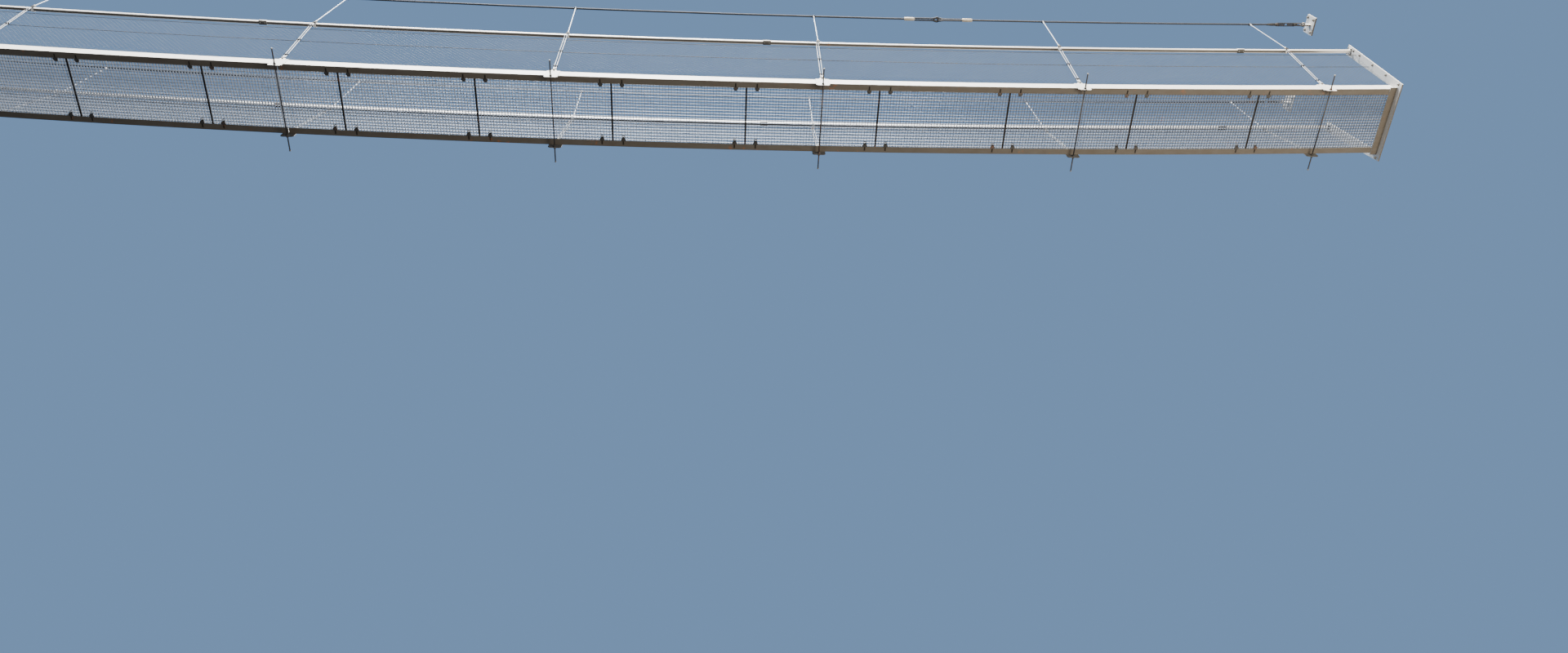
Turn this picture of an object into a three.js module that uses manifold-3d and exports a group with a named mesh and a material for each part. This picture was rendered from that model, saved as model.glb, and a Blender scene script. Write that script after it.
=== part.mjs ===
// Suspension footbridge: six bays of narrow grating deck between two edge beams, hung from two
// cables that sag with the deck, with tube handrails and wire netting, from rock face to rock face.
// Millimetres, +Z up, +X along the bridge, the near side at -Y. The origin is the middle of the left
// end frame's flat back face, where the bridge is bolted to the rock.
import * as THREE from 'three';
import { mergeVertices } from 'three/addons/utils/BufferGeometryUtils.js';
import Module from 'manifold-3d';

const wasm = await Module();
wasm.setup();

// Line of the bridge
const END_PLANE = 9900; // from midspan to each rock face
const END_RISE = 700; // how far the ends stand above midspan
const KINK = 1000; // the deck line is straight between points this far apart
const BAY = 3000;
const STATIONS = [-3 * BAY, -6400, -BAY, 0, BAY, 2 * BAY, 3 * BAY]; // hangers, the second off pitch
const SEAT_GAP = 0.3; // between pieces that bear on each other

// Deck
const WIDTH = 800; // over the edge beams
const BEAM_HEIGHT = 155;
const BEAM_FLANGE = 70;
const BEAM_THICK = 7;
const BEAM_JOINT = 3; // half the gap between two beam lengths
const GRATING_DEEP = 30;
const GRATING_EDGE = WIDTH / 2 - BEAM_THICK - 1;
const GRATING_JOINT = 3; // half the gap between two panels
const PANEL = BAY / 2;
const FIRST_CROSSBAR = -8350;
const CROSSBAR_COUNT = 12;
const CROSSBAR_WIDE = 20;
const CROSSBARS_PER_MODULE = 2;
const PAD_OVERLAP = 2; // how far a crossbar's pad runs into the bar and into its panel

// Bracket plates and cross rods, heights above the underside of the beams
const PLATE_HALF = 75;
const PLATE_THICK = 8;
const PLATE_BOTTOM = -90;
const PLATE_CHAMFER = 20;
const LUG_HALF = 30;
const LUG_TOP = 198;
const LUG_CHAMFER = 12;
const PIN_Z = 171;
const PIN_RADIUS = 8;
const ROD_Z = -60;
const ROD_RADIUS = 8;
const ROD_REACH = 190; // past each beam
const NUT_RADIUS = 16;
const NUT_THICK = 15;

// Handrails and cables
const RAIL_Y = 508;
const RAIL_Z = 1270;
const RAIL_RADIUS = 24.15;
const RAIL_FLANGE = 90;
const RAIL_FLANGE_THICK = 8;
const SLEEVES = [-3620, 2380, 8380]; // joints of the six metre tubes
const SLEEVE_RADIUS = 29;
const SLEEVE_LENGTH = 96;
const CABLE_Y = 548;
const CABLE_Z = 2485;
const CABLE_RADIUS = 11;
const SPLICE_X = 4650; // shackled joint in the near cable
const FERRULE_REACH = 387;
const FERRULE_LENGTH = 140;
const FERRULE_RADIUS = 22;
const LOOP_THICK = 22;
const LOOP_WIDE = 42;
const SHACKLE_RADIUS = 30;
const SHACKLE_WIDE = 44;
const ROPE_IN_SOCKET = 20;

// Hangers
const ROPE_RADIUS = 6;
const HANGER_Y = WIDTH / 2 + PLATE_THICK / 2; // at the pin
const RAIL_CLEAR = 1; // between the handrail and the rope that passes outside it
const HANGER_RAIL_Y = RAIL_Y + RAIL_RADIUS + ROPE_RADIUS + RAIL_CLEAR;
const LEG_SPREAD = 13;
const THIMBLE_Z = 228;
const THIMBLE_RADIUS = 22;
const BOW_RADIUS = 4.5;
const BOW_CLEAR = 0.4; // between the shackle's bow and the plate's lug
const BOW_REACH = PLATE_THICK / 2 + BOW_CLEAR + BOW_RADIUS;
const BOW_BOTTOM = 202; // of its crossing
const BOW_TOP = 213;
const PIN_REACH = 8; // past the bow, on the outer side
const TAIL_TOP = 1190;
const CLIPS = [290, 725, 1150];
const CLIP_HIGH = 16;
const CLIP_EDGE = 4; // past the ropes at each side
const CLIP_INNER = 8; // from the ropes' middle towards the netting
const CLIP_OUTER = 13;
const CLAMP_HALF = 15;
const CLAMP_RING = 31;
const CLAMP_BLOCK_INNER = 22; // from the handrail's middle
const CLAMP_BLOCK_HALF = 22;
const CLAMP_SKIN = 4; // outside the rope
const SADDLE_HALF = 18;
const SADDLE_SIDE = 16;
const SADDLE_SHIFTS = { // along the bridge, where a hanger's upper rope leans
  near: [0, 0, 0, -80, 0, 70, 0],
  far: [0, 0, 0, -50, 0, 0, 0],
};

// Netting
const NET_THICK = 4;
const WIRE_RADIUS = 4;
const NET_FOOT = 100;
const NET_BEND = 262;
const NET_LEAN = 330;
const NET_TOP = 1100;
const MIDDLE_WIRE = 725;
const NET_STAND = 5.5; // from the beams' upright legs
const NET_CLEAR = 2.5; // between the wires and the hangers' rope
const NET_FOOT_Y = WIDTH / 2 - BEAM_THICK - NET_STAND;
const NET_JOINT = 1; // half the gap between two lengths
const NET_CUTS = [STATIONS[1], -BAY, BAY, 2 * BAY]; // lengths meet at hangers
const NET_RIB = 16; // between the openings that stand for the mesh
const NET_PITCH = 500; // about how far apart the openings are along the bridge

// Ends
const FRAME_THICK = 15;
const FRAME_BOTTOM = -90;
const FRAME_FOOT = 480;
const FRAME_HEAD = 575;
const FRAME_TOP = 1330;
const DOOR_FOOT = 385;
const DOOR_HEAD = 452;
const SEAT_LONG = 85;
const SEAT_THICK = 12;
const SEAT_EDGE = 20; // past each beam
const SEAT_ROOT = 2; // into the plate
const ANCHOR_HALF = 120;
const ANCHOR_THICK = 20;
const ANCHOR_PIN = 9790;
const ANCHOR_PIN_RADIUS = 14;
const ANCHOR_LUG_HALF = 38;
const ANCHOR_LUG_THICK = 18;
const ANCHOR_LUG_NOSE = 28; // past the pin
const LUG_ROOT = 2; // into the plate
const FORK_CLEAR = 0.5; // between the fork and the lug
const FORK_WALL = 9;
const FORK_LENGTH = 110;
const FORK_TIP = 30; // past the pin
const FORK_HEEL = 22;
const FORK_OVERLAP = 12; // heel and tensioner
const FORK_DROP = 34;
const FORK_RISE = 24;
const FORK_PIN_REACH = 12; // past the fork at each side
const TENSIONER_RADIUS = 26;
const TENSIONER_LENGTH = 300;
const SOCKET_RADIUS = 20;
const SOCKET_LENGTH = 130;
const SOCKET_OVERLAP = 5;

const ROUND = 8; // sides of a tube or hole
const SMALL_ROUND = 6; // sides of a rope or small bar
const FACE = END_PLANE - FRAME_THICK; // inner faces of the end frames

// Height of the underside of the beams above midspan, straight from kink to kink
function deckLine(x) {
  const low = Math.floor(x / KINK) * KINK;
  const curve = (at) => END_RISE * (at / END_PLANE) ** 2;
  return THREE.MathUtils.mapLinear(x, low, low + KINK, curve(low), curve(low + KINK));
}

function slopeAt(x) {
  return (deckLine(x + 1) - deckLine(x - 1)) / 2;
}

function material(color, roughness, metalness) {
  return new THREE.MeshStandardMaterial({ color, roughness, metalness });
}

const zincBright = material(0xd6d2c8, 0.5, 0.7);
const zincDull = material(0x8f8a80, 0.65, 0.5);
const gratingSteel = material(0x5a6472, 0.6, 0.6);
const ropeDark = material(0x3b3d40, 0.55, 0.7);
const ropeBright = material(0xc9cdd0, 0.4, 0.8);
const netWire = material(0xa9b0b4, 0.5, 0.7);

// Solids and their joins

function toSolid(geometry) {
  const bare = geometry.clone();
  bare.deleteAttribute('normal');
  bare.deleteAttribute('uv');
  const merged = mergeVertices(bare, 1e-4);
  return new wasm.Manifold(new wasm.Mesh({
    numProp: 3,
    vertProperties: new Float32Array(merged.attributes.position.array),
    triVerts: new Uint32Array(merged.index.array),
  }));
}

function toGeometry(solid) {
  const mesh = solid.getMesh();
  const geometry = new THREE.BufferGeometry();
  geometry.setAttribute('position', new THREE.BufferAttribute(new Float32Array(mesh.vertProperties), 3));
  geometry.setIndex(new THREE.BufferAttribute(new Uint32Array(mesh.triVerts), 1));
  geometry.computeVertexNormals();
  return geometry;
}

function join(geometries, cuts = []) {
  const [first, ...rest] = geometries.map(toSolid);
  const whole = rest.reduce((sum, solid) => sum.add(solid), first);
  return toGeometry(cuts.map(toSolid).reduce((sum, solid) => sum.subtract(solid), whole));
}

function box(xs, ys, zs) {
  const [sizeX, sizeY, sizeZ] = [xs, ys, zs].map(([low, high]) => Math.abs(high - low));
  const [midX, midY, midZ] = [xs, ys, zs].map(([low, high]) => (low + high) / 2);
  return new THREE.BoxGeometry(sizeX, sizeY, sizeZ).translate(midX, midY, midZ);
}

// A round bar between two points
function bar(from, to, radius, sides = SMALL_ROUND) {
  const start = new THREE.Vector3(...from);
  const along = new THREE.Vector3(...to).sub(start);
  const upright = new THREE.Vector3(0, 1, 0);
  const turn = new THREE.Quaternion().setFromUnitVectors(upright, along.clone().normalize());
  const geometry = new THREE.CylinderGeometry(radius, radius, along.length(), sides);
  const middle = start.addScaledVector(along, 0.5);
  return geometry.applyQuaternion(turn).translate(middle.x, middle.y, middle.z);
}

function outline(points) {
  return new THREE.Shape(points.map(([u, v]) => new THREE.Vector2(u, v)));
}

// A flat plate in a plane across the bridge, its outline given as y, z points
function crossPlate(points, x, thick) {
  const plate = new THREE.ExtrudeGeometry(outline(points), { depth: thick, bevelEnabled: false });
  const axes = [[0, 1, 0], [0, 0, 1], [1, 0, 0]].map((axis) => new THREE.Vector3(...axis));
  return plate.applyMatrix4(new THREE.Matrix4().makeBasis(...axes)).translate(x, 0, 0);
}

// A section of y, z points carried along the deck line from one x to another
function sweep(points, from, to) {
  const stops = [from];
  for (let x = Math.floor(from / KINK) * KINK + KINK; x < to; x += KINK) {
    if (x > from) stops.push(x);
  }
  stops.push(to);
  const steps = stops.length - 1;
  const shape = new THREE.ExtrudeGeometry(outline(points), { depth: steps, steps, bevelEnabled: false });
  const place = shape.attributes.position;
  for (let i = 0; i < place.count; i += 1) {
    const x = stops[Math.round(place.getZ(i))];
    place.setXYZ(i, x, place.getX(i), place.getY(i) + deckLine(x));
  }
  return shape;
}

function rectangle([y0, y1], [z0, z1]) {
  return [[y0, z0], [y1, z0], [y1, z1], [y0, z1]];
}

function circle(y, z, radius, sides = ROUND) {
  return Array.from({ length: sides }, (unused, i) => {
    const angle = (2 * Math.PI * (i + 0.5)) / sides;
    return [y + radius * Math.cos(angle), z + radius * Math.sin(angle)];
  });
}

// A bar that cuts a hole between two points for a pin, tube or rope of this radius
function hole(from, to, radius) {
  return bar(from, to, (radius + 2 * SEAT_GAP) / Math.cos(Math.PI / ROUND), ROUND);
}

// How much higher the deck line is at a shift along the bridge from a station
function riseAt(x, shift) {
  return deckLine(x + shift) - deckLine(x);
}

// A hole along the deck line, at a shift from a station
function passage(x, y, z, radius, reach, shift = 0) {
  const drop = reach * slopeAt(x + shift);
  const middle = z + riseAt(x, shift);
  return hole([shift - reach, y, middle - drop], [shift + reach, y, middle + drop], radius);
}

const bridge = new THREE.Group();
const SIDES = [['near', -1], ['far', 1]];

function addPiece(name, geometry, finish, x = 0, z = 0) {
  const mesh = new THREE.Mesh(geometry, finish);
  mesh.name = name;
  mesh.position.set(x, 0, z);
  bridge.add(mesh);
}

// Edge beams: angles with their upright legs outside, in lengths that meet at bracket plates

function beamSection(side) {
  const outer = (side * WIDTH) / 2;
  const inner = outer - side * BEAM_THICK;
  const toe = outer - side * BEAM_FLANGE;
  const leg = [[outer, 0], [outer, BEAM_HEIGHT], [inner, BEAM_HEIGHT]];
  return [...leg, [inner, BEAM_THICK], [toe, BEAM_THICK], [toe, 0]];
}

function addBeams() {
  const cuts = [-FACE, -BAY, BAY, FACE];
  const ends = [SEAT_GAP, BEAM_JOINT, BEAM_JOINT, SEAT_GAP];
  for (const [label, side] of SIDES) {
    for (let i = 0; i < cuts.length - 1; i += 1) {
      const length = sweep(beamSection(side), cuts[i] + ends[i], cuts[i + 1] - ends[i + 1]);
      addPiece(`edge_beam_${label}_${i + 1}`, length, zincBright);
    }
  }
}

// Deck: grating panels that lie on the beams' flanges, with a crossbar under each joint

function addDeck() {
  const under = BEAM_THICK + SEAT_GAP;
  const bars = Array.from({ length: CROSSBAR_COUNT }, (unused, i) => FIRST_CROSSBAR + PANEL * i);
  const edges = [-FACE - GRATING_JOINT + SEAT_GAP, ...bars, FACE + GRATING_JOINT - SEAT_GAP];
  const panelSection = rectangle([-GRATING_EDGE, GRATING_EDGE], [under, under + GRATING_DEEP]);
  const panel = (i) => sweep(panelSection, edges[i] + GRATING_JOINT, edges[i + 1] - GRATING_JOINT);
  const reach = WIDTH / 2 - BEAM_FLANGE - SEAT_GAP;
  const barSection = rectangle([-reach, reach], [0, BEAM_THICK]);
  const padSection = rectangle([-reach, reach], [BEAM_THICK - PAD_OVERLAP, under + PAD_OVERLAP]);
  const crossbar = (x, carriesNext) => {
    const half = CROSSBAR_WIDE / 2;
    const pieces = [sweep(barSection, x - half, x + half), sweep(padSection, x - half, x - GRATING_JOINT)];
    if (carriesNext) pieces.push(sweep(padSection, x + GRATING_JOINT, x + half));
    return pieces;
  };
  const panels = bars.length + 1;
  for (let first = 0, number = 1; first < panels; first += CROSSBARS_PER_MODULE, number += 1) {
    const last = Math.min(first + CROSSBARS_PER_MODULE, panels);
    const pieces = [];
    for (let i = first; i < last; i += 1) {
      pieces.push(panel(i));
      if (i < bars.length) pieces.push(...crossbar(bars[i], i + 1 < last));
    }
    addPiece(`deck_grating_${number}`, join(pieces), gratingSteel);
  }
}

// Hanger frames: a cross rod under the deck through a bracket plate on each beam

function bracketPlate(side) {
  const chamfer = PLATE_BOTTOM + PLATE_CHAMFER;
  const foot = PLATE_HALF - PLATE_CHAMFER;
  const body = [[foot, PLATE_BOTTOM], [PLATE_HALF, chamfer], [PLATE_HALF, BEAM_HEIGHT]];
  const lug = [[LUG_HALF, BEAM_HEIGHT], [LUG_HALF, LUG_TOP - LUG_CHAMFER], [LUG_HALF - LUG_CHAMFER, LUG_TOP]];
  const half = [...body, ...lug];
  const whole = [...half, ...half.map(([x, z]) => [-x, z]).reverse()];
  const plate = new THREE.ExtrudeGeometry(outline(whole), { depth: PLATE_THICK, bevelEnabled: false });
  const axes = [[1, 0, 0], [0, 0, 1], [0, -1, 0]].map((axis) => new THREE.Vector3(...axis));
  const outer = side > 0 ? WIDTH / 2 + PLATE_THICK : -WIDTH / 2;
  return plate.applyMatrix4(new THREE.Matrix4().makeBasis(...axes)).translate(0, outer, 0);
}

function addHangerFrames() {
  const tip = WIDTH / 2 + ROD_REACH;
  STATIONS.forEach((x, index) => {
    const pieces = [bar([0, -tip, ROD_Z], [0, tip, ROD_Z], ROD_RADIUS, ROUND)];
    const holes = [];
    for (const [, side] of SIDES) {
      const nuts = [WIDTH / 2 - NUT_THICK, WIDTH / 2 + PLATE_THICK + NUT_THICK].map((y) => side * y);
      const through = [HANGER_Y - PLATE_THICK, HANGER_Y + PLATE_THICK].map((y) => side * y);
      pieces.push(bracketPlate(side), bar([0, nuts[0], ROD_Z], [0, nuts[1], ROD_Z], NUT_RADIUS));
      holes.push(hole([0, through[0], PIN_Z], [0, through[1], PIN_Z], PIN_RADIUS));
    }
    addPiece(`hanger_frame_${index + 1}`, join(pieces, holes), zincDull, x, deckLine(x));
  });
}

// Hangers: shackle, thimble and doubled rope up to a clamp on the handrail, then a single rope

function hangerY(z) {
  return THREE.MathUtils.mapLinear(z, PIN_Z, RAIL_Z, HANGER_Y, HANGER_RAIL_Y);
}

function legX(z, way) {
  const top = way > 0 ? 0 : -2 * LEG_SPREAD;
  return THREE.MathUtils.mapLinear(z, THIMBLE_Z, RAIL_Z, way * LEG_SPREAD, top);
}

function shackle(side) {
  const at = (y, z) => [0, side * y, z];
  const edge = BOW_REACH + BOW_RADIUS;
  const crossing = [HANGER_Y - edge, HANGER_Y + edge].map((y) => side * y);
  const pieces = [
    bar(at(HANGER_Y - edge, PIN_Z), at(HANGER_Y + edge + PIN_REACH, PIN_Z), PIN_RADIUS),
    box([-BOW_RADIUS, BOW_RADIUS], crossing, [BOW_BOTTOM, BOW_TOP]),
  ];
  for (const way of [-1, 1]) {
    const leg = HANGER_Y + way * BOW_REACH;
    pieces.push(bar(at(leg, PIN_Z), at(leg, BOW_TOP - BOW_RADIUS), BOW_RADIUS));
  }
  return pieces;
}

function hangerRope(side, shift, rise) {
  const at = (x, y, z) => [x, side * y, z];
  const loop = hangerY(THIMBLE_Z);
  const edges = [loop - ROPE_RADIUS, loop + ROPE_RADIUS];
  const tail = at(legX(TAIL_TOP, -1), hangerY(TAIL_TOP), TAIL_TOP);
  const saddle = at(shift, CABLE_Y, CABLE_Z + rise - SADDLE_SIDE);
  return [
    bar(at(0, edges[0], THIMBLE_Z), at(0, edges[1], THIMBLE_Z), THIMBLE_RADIUS, ROUND),
    bar(at(LEG_SPREAD, loop, THIMBLE_Z), at(0, HANGER_RAIL_Y, RAIL_Z), ROPE_RADIUS),
    bar(at(-LEG_SPREAD, loop, THIMBLE_Z), tail, ROPE_RADIUS),
    bar(at(0, HANGER_RAIL_Y, RAIL_Z - CLAMP_HALF), saddle, ROPE_RADIUS),
  ];
}

function hangerClamps(side, shift, rise) {
  const across = (y) => side * y;
  const [ringStart, ringEnd] = [-CLAMP_HALF, CLAMP_HALF].map((x) => [x, side * RAIL_Y, RAIL_Z]);
  const block = [RAIL_Y + CLAMP_BLOCK_INNER, HANGER_RAIL_Y + ROPE_RADIUS + CLAMP_SKIN].map(across);
  const saddle = [CABLE_Y - SADDLE_SIDE, CABLE_Y + SADDLE_SIDE].map(across);
  const saddleHigh = [-SADDLE_HALF, SADDLE_SIDE].map((edge) => CABLE_Z + rise + edge);
  const pieces = [
    bar(ringStart, ringEnd, CLAMP_RING, ROUND),
    box([-CLAMP_HALF, CLAMP_HALF], block, [RAIL_Z - CLAMP_BLOCK_HALF, RAIL_Z + CLAMP_BLOCK_HALF]),
    box([shift - SADDLE_HALF, shift + SADDLE_HALF], saddle, saddleHigh),
  ];
  for (const z of CLIPS) {
    const edges = [-1, 1].map((way) => legX(z, way) + way * (ROPE_RADIUS + CLIP_EDGE));
    const clip = [hangerY(z) - CLIP_INNER, hangerY(z) + CLIP_OUTER].map(across);
    pieces.push(box(edges, clip, [z - CLIP_HIGH / 2, z + CLIP_HIGH / 2]));
  }
  return pieces;
}

function hanger(x, side, shift) {
  const rise = riseAt(x, shift);
  return join([...shackle(side), ...hangerRope(side, shift, rise), ...hangerClamps(side, shift, rise)], [
    passage(x, side * RAIL_Y, RAIL_Z, RAIL_RADIUS, 2 * CLAMP_HALF),
    passage(x, side * CABLE_Y, CABLE_Z, CABLE_RADIUS, 2 * SADDLE_HALF, shift),
  ]);
}

function addHangers() {
  for (const [label, side] of SIDES) {
    STATIONS.forEach((x, index) => {
      const shape = hanger(x, side, SADDLE_SHIFTS[label][index]);
      addPiece(`hanger_${label}_${index + 1}`, shape, ropeBright, x, deckLine(x));
    });
  }
}

// Handrails: tubes with sleeved joints and a flange at each end

function addHandrails() {
  const end = FACE - SEAT_GAP;
  for (const [label, side] of SIDES) {
    const y = side * RAIL_Y;
    const half = RAIL_FLANGE / 2;
    const pieces = [sweep(circle(y, RAIL_Z, RAIL_RADIUS), -end, end)];
    for (const x of SLEEVES) {
      pieces.push(sweep(circle(y, RAIL_Z, SLEEVE_RADIUS), x - SLEEVE_LENGTH / 2, x + SLEEVE_LENGTH / 2));
    }
    for (const way of [-1, 1]) {
      const z = RAIL_Z + deckLine(end);
      const across = [way * end, way * (end - RAIL_FLANGE_THICK)];
      pieces.push(box(across, [y - half, y + half], [z - half, z + half]));
    }
    addPiece(`handrail_${label}`, join(pieces), zincBright);
  }
}

// Main cables: rope from rock to rock, with a socket, a tensioner and a fork at each end

function cableEnd(way, side) {
  const y = side * CABLE_Y;
  const high = deckLine(ANCHOR_PIN) + CABLE_Z;
  const at = (x) => [way * x, y, CABLE_Z + deckLine(x)];
  const forkFrom = ANCHOR_PIN - FORK_LENGTH;
  const bodyFrom = forkFrom - TENSIONER_LENGTH;
  const socketFrom = bodyFrom - SOCKET_LENGTH;
  const cheek = ANCHOR_LUG_THICK / 2 + FORK_CLEAR;
  const wide = cheek + FORK_WALL;
  const pinReach = wide + FORK_PIN_REACH;
  const tall = [high - FORK_DROP, high + FORK_RISE];
  const long = [way * forkFrom, way * (ANCHOR_PIN + FORK_TIP)];
  const heel = [way * (forkFrom - FORK_OVERLAP), way * (forkFrom + FORK_HEEL)];
  return [
    ...[-1, 1].map((edge) => box(long, [y + edge * cheek, y + edge * wide], tall)),
    box(heel, [y - wide, y + wide], tall),
    bar([way * ANCHOR_PIN, y - pinReach, high], [way * ANCHOR_PIN, y + pinReach, high], ANCHOR_PIN_RADIUS),
    bar(at(bodyFrom), at(forkFrom), TENSIONER_RADIUS, ROUND),
    bar(at(socketFrom), at(bodyFrom + SOCKET_OVERLAP), SOCKET_RADIUS, ROUND),
  ];
}

function splice(side) {
  const y = side * CABLE_Y;
  const pieces = [];
  for (const way of [-1, 1]) {
    const middle = SPLICE_X + way * FERRULE_REACH;
    const loopEnds = [SPLICE_X, middle - (way * FERRULE_LENGTH) / 2].sort((a, b) => a - b);
    const [wide, tall] = way < 0 ? [LOOP_THICK, LOOP_WIDE] : [LOOP_WIDE, LOOP_THICK];
    const section = rectangle([y - wide / 2, y + wide / 2], [CABLE_Z - tall / 2, CABLE_Z + tall / 2]);
    const ferruleEnds = [middle - FERRULE_LENGTH / 2, middle + FERRULE_LENGTH / 2];
    pieces.push(sweep(section, ...loopEnds), sweep(circle(y, CABLE_Z, FERRULE_RADIUS), ...ferruleEnds));
  }
  const z = CABLE_Z + deckLine(SPLICE_X);
  const reach = SHACKLE_WIDE / 2;
  pieces.push(bar([SPLICE_X, y - reach, z], [SPLICE_X, y + reach, z], SHACKLE_RADIUS, ROUND));
  return pieces;
}

function addMainCables() {
  const end = ANCHOR_PIN - FORK_LENGTH - TENSIONER_LENGTH - SOCKET_LENGTH + ROPE_IN_SOCKET;
  for (const [label, side] of SIDES) {
    const rope = sweep(circle(side * CABLE_Y, CABLE_Z, CABLE_RADIUS, SMALL_ROUND), -end, end);
    const pieces = [rope, ...cableEnd(-1, side), ...cableEnd(1, side)];
    if (side < 0) pieces.push(...splice(side));
    addPiece(`main_cable_${label}`, join(pieces), ropeDark);
  }
}

// Netting: a thin sheet open in a plain grid, with a wire along its middle and its top, leaning with
// the hangers

function netY(z) {
  const offset = ROPE_RADIUS + NET_CLEAR + WIRE_RADIUS;
  return z <= NET_BEND ? NET_FOOT_Y : hangerY(z) - offset;
}

function netSection(side) {
  const half = NET_THICK / 2;
  const swell = WIRE_RADIUS - half;
  const ridge = (z) => [[z - WIRE_RADIUS, 0], [z, swell], [z + WIRE_RADIUS, 0]];
  const foot = [NET_FOOT, NET_BEND, NET_LEAN].map((z) => [z, 0]);
  const levels = [...foot, ...ridge(MIDDLE_WIRE), ...ridge(NET_TOP - WIRE_RADIUS)];
  const face = (edge) => levels.map(([z, extra]) => [side * (netY(z) + edge * (half + extra)), z]);
  return [...face(1), ...face(-1).reverse()];
}

// The openings of one length: a row below the bend and one at each side of the middle wire
function netOpenings(side, from, to) {
  const count = Math.round((to - from) / NET_PITCH);
  const step = (to - from - NET_RIB) / count;
  const half = NET_RIB / 2;
  const ribs = [NET_FOOT + half, NET_BEND, MIDDLE_WIRE, NET_TOP - half];
  const across = [side * (NET_FOOT_Y - NET_RIB), side * CABLE_Y];
  const openings = [];
  for (let i = 0; i < count; i += 1) {
    const start = from + NET_RIB + step * i;
    for (let row = 1; row < ribs.length; row += 1) {
      const high = [ribs[row - 1] + half, ribs[row] - half];
      openings.push(sweep(rectangle(across, high), start, start + step - NET_RIB));
    }
  }
  return openings;
}

function addNetting() {
  const cuts = [-FACE, ...NET_CUTS, FACE];
  const ends = [SEAT_GAP, ...NET_CUTS.map(() => NET_JOINT), SEAT_GAP];
  for (const [label, side] of SIDES) {
    for (let i = 0; i < cuts.length - 1; i += 1) {
      const span = [cuts[i] + ends[i], cuts[i + 1] - ends[i + 1]];
      const length = join([sweep(netSection(side), ...span)], netOpenings(side, ...span));
      addPiece(`netting_${label}_${i + 1}`, length, netWire);
    }
  }
}

// End frames: a plate bolted to the rock, open for the walkway, with a seat under the beams

function endFrame(way) {
  const rise = deckLine(END_PLANE);
  const half = [[FRAME_FOOT, FRAME_BOTTOM], [FRAME_HEAD, FRAME_TOP], [DOOR_HEAD, FRAME_TOP],
    [DOOR_FOOT, BEAM_THICK + GRATING_DEEP]];
  const whole = [...half, ...half.map(([y, z]) => [-y, z]).reverse()].map(([y, z]) => [y, z + rise]);
  const plate = crossPlate(whole, way > 0 ? FACE : -END_PLANE, FRAME_THICK);
  const edge = WIDTH / 2 + SEAT_EDGE;
  const ends = [way * (FACE - SEAT_LONG), way * (FACE + SEAT_ROOT)].sort((a, b) => a - b);
  const seat = sweep(rectangle([-edge, edge], [-SEAT_GAP - SEAT_THICK, -SEAT_GAP]), ...ends);
  return join([plate, seat]);
}

function addEndFrames() {
  addPiece('end_frame_left', endFrame(-1), zincDull);
  addPiece('end_frame_right', endFrame(1), zincDull);
}

// Cable anchors: a plate bolted to the rock with a lug for the fork

function cableAnchor(way, side) {
  const z = deckLine(ANCHOR_PIN) + CABLE_Z;
  const y = side * CABLE_Y;
  const front = END_PLANE - ANCHOR_THICK;
  const lugLong = [way * (ANCHOR_PIN - ANCHOR_LUG_NOSE), way * (front + LUG_ROOT)];
  const lugWide = [y - ANCHOR_LUG_THICK / 2, y + ANCHOR_LUG_THICK / 2];
  const plateWide = [y - ANCHOR_HALF, y + ANCHOR_HALF];
  const x = way * ANCHOR_PIN;
  const throughPin = [[x, y - ANCHOR_LUG_THICK, z], [x, y + ANCHOR_LUG_THICK, z]];
  return join([
    box([way * front, way * END_PLANE], plateWide, [z - ANCHOR_HALF, z + ANCHOR_HALF]),
    box(lugLong, lugWide, [z - ANCHOR_LUG_HALF, z + ANCHOR_LUG_HALF]),
  ], [hole(...throughPin, ANCHOR_PIN_RADIUS)]);
}

function addAnchors() {
  for (const [label, side] of SIDES) {
    addPiece(`cable_anchor_${label}_left`, cableAnchor(-1, side), zincDull);
    addPiece(`cable_anchor_${label}_right`, cableAnchor(1, side), zincDull);
  }
}

addBeams();
addDeck();
addHangerFrames();
addHangers();
addHandrails();
addMainCables();
addNetting();
addEndFrames();
addAnchors();

// The origin is the middle of the left end frame's foot, on its back face
const footMiddle = (FRAME_BOTTOM + BEAM_THICK + GRATING_DEEP) / 2;
bridge.position.set(END_PLANE, 0, -deckLine(END_PLANE) - footMiddle);

export default bridge;
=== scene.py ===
"""Suspension footbridge: grating bars, stranded ropes, woven netting, fittings and finishes.

Lengths are metres. Places along the bridge are measured from midspan and heights from the underside of the
edge beams there, and follow() carries them to the frame, whose origin is the foot of the left end frame.
Parts are made for the far side and mirrored for the near one.
"""

import math

import bpy
import numpy as np
from mathutils import Matrix, Vector


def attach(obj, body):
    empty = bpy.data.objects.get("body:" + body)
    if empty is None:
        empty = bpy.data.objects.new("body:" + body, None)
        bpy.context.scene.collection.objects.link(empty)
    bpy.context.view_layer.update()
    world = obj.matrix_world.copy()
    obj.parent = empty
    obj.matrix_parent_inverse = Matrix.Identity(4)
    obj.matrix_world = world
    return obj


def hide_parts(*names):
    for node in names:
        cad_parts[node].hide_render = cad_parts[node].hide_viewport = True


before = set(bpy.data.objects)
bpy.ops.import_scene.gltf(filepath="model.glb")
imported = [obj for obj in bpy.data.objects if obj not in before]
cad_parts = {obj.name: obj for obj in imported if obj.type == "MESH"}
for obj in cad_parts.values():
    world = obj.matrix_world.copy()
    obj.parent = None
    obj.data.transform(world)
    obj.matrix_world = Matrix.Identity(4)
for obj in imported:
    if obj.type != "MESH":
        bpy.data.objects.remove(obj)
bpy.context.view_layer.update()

bl_info = {
    "name": "Suspension footbridge",
    "version": (1, 0, 0),
    "blender": (4, 5, 0),
    "location": "View3D > Sidebar > Footbridge",
    "description": "Dresses a suspension footbridge with grating, ropes, netting, fittings and finishes",
    "category": "Add Mesh",
}

SIDES = (("near", -1), ("far", 1))
ENDS = (("left", -1), ("right", 1))
ALONG, ACROSS, UP, DOWN = (1, 0, 0), (0, 1, 0), (0, 0, 1), (0, 0, -1)

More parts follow.
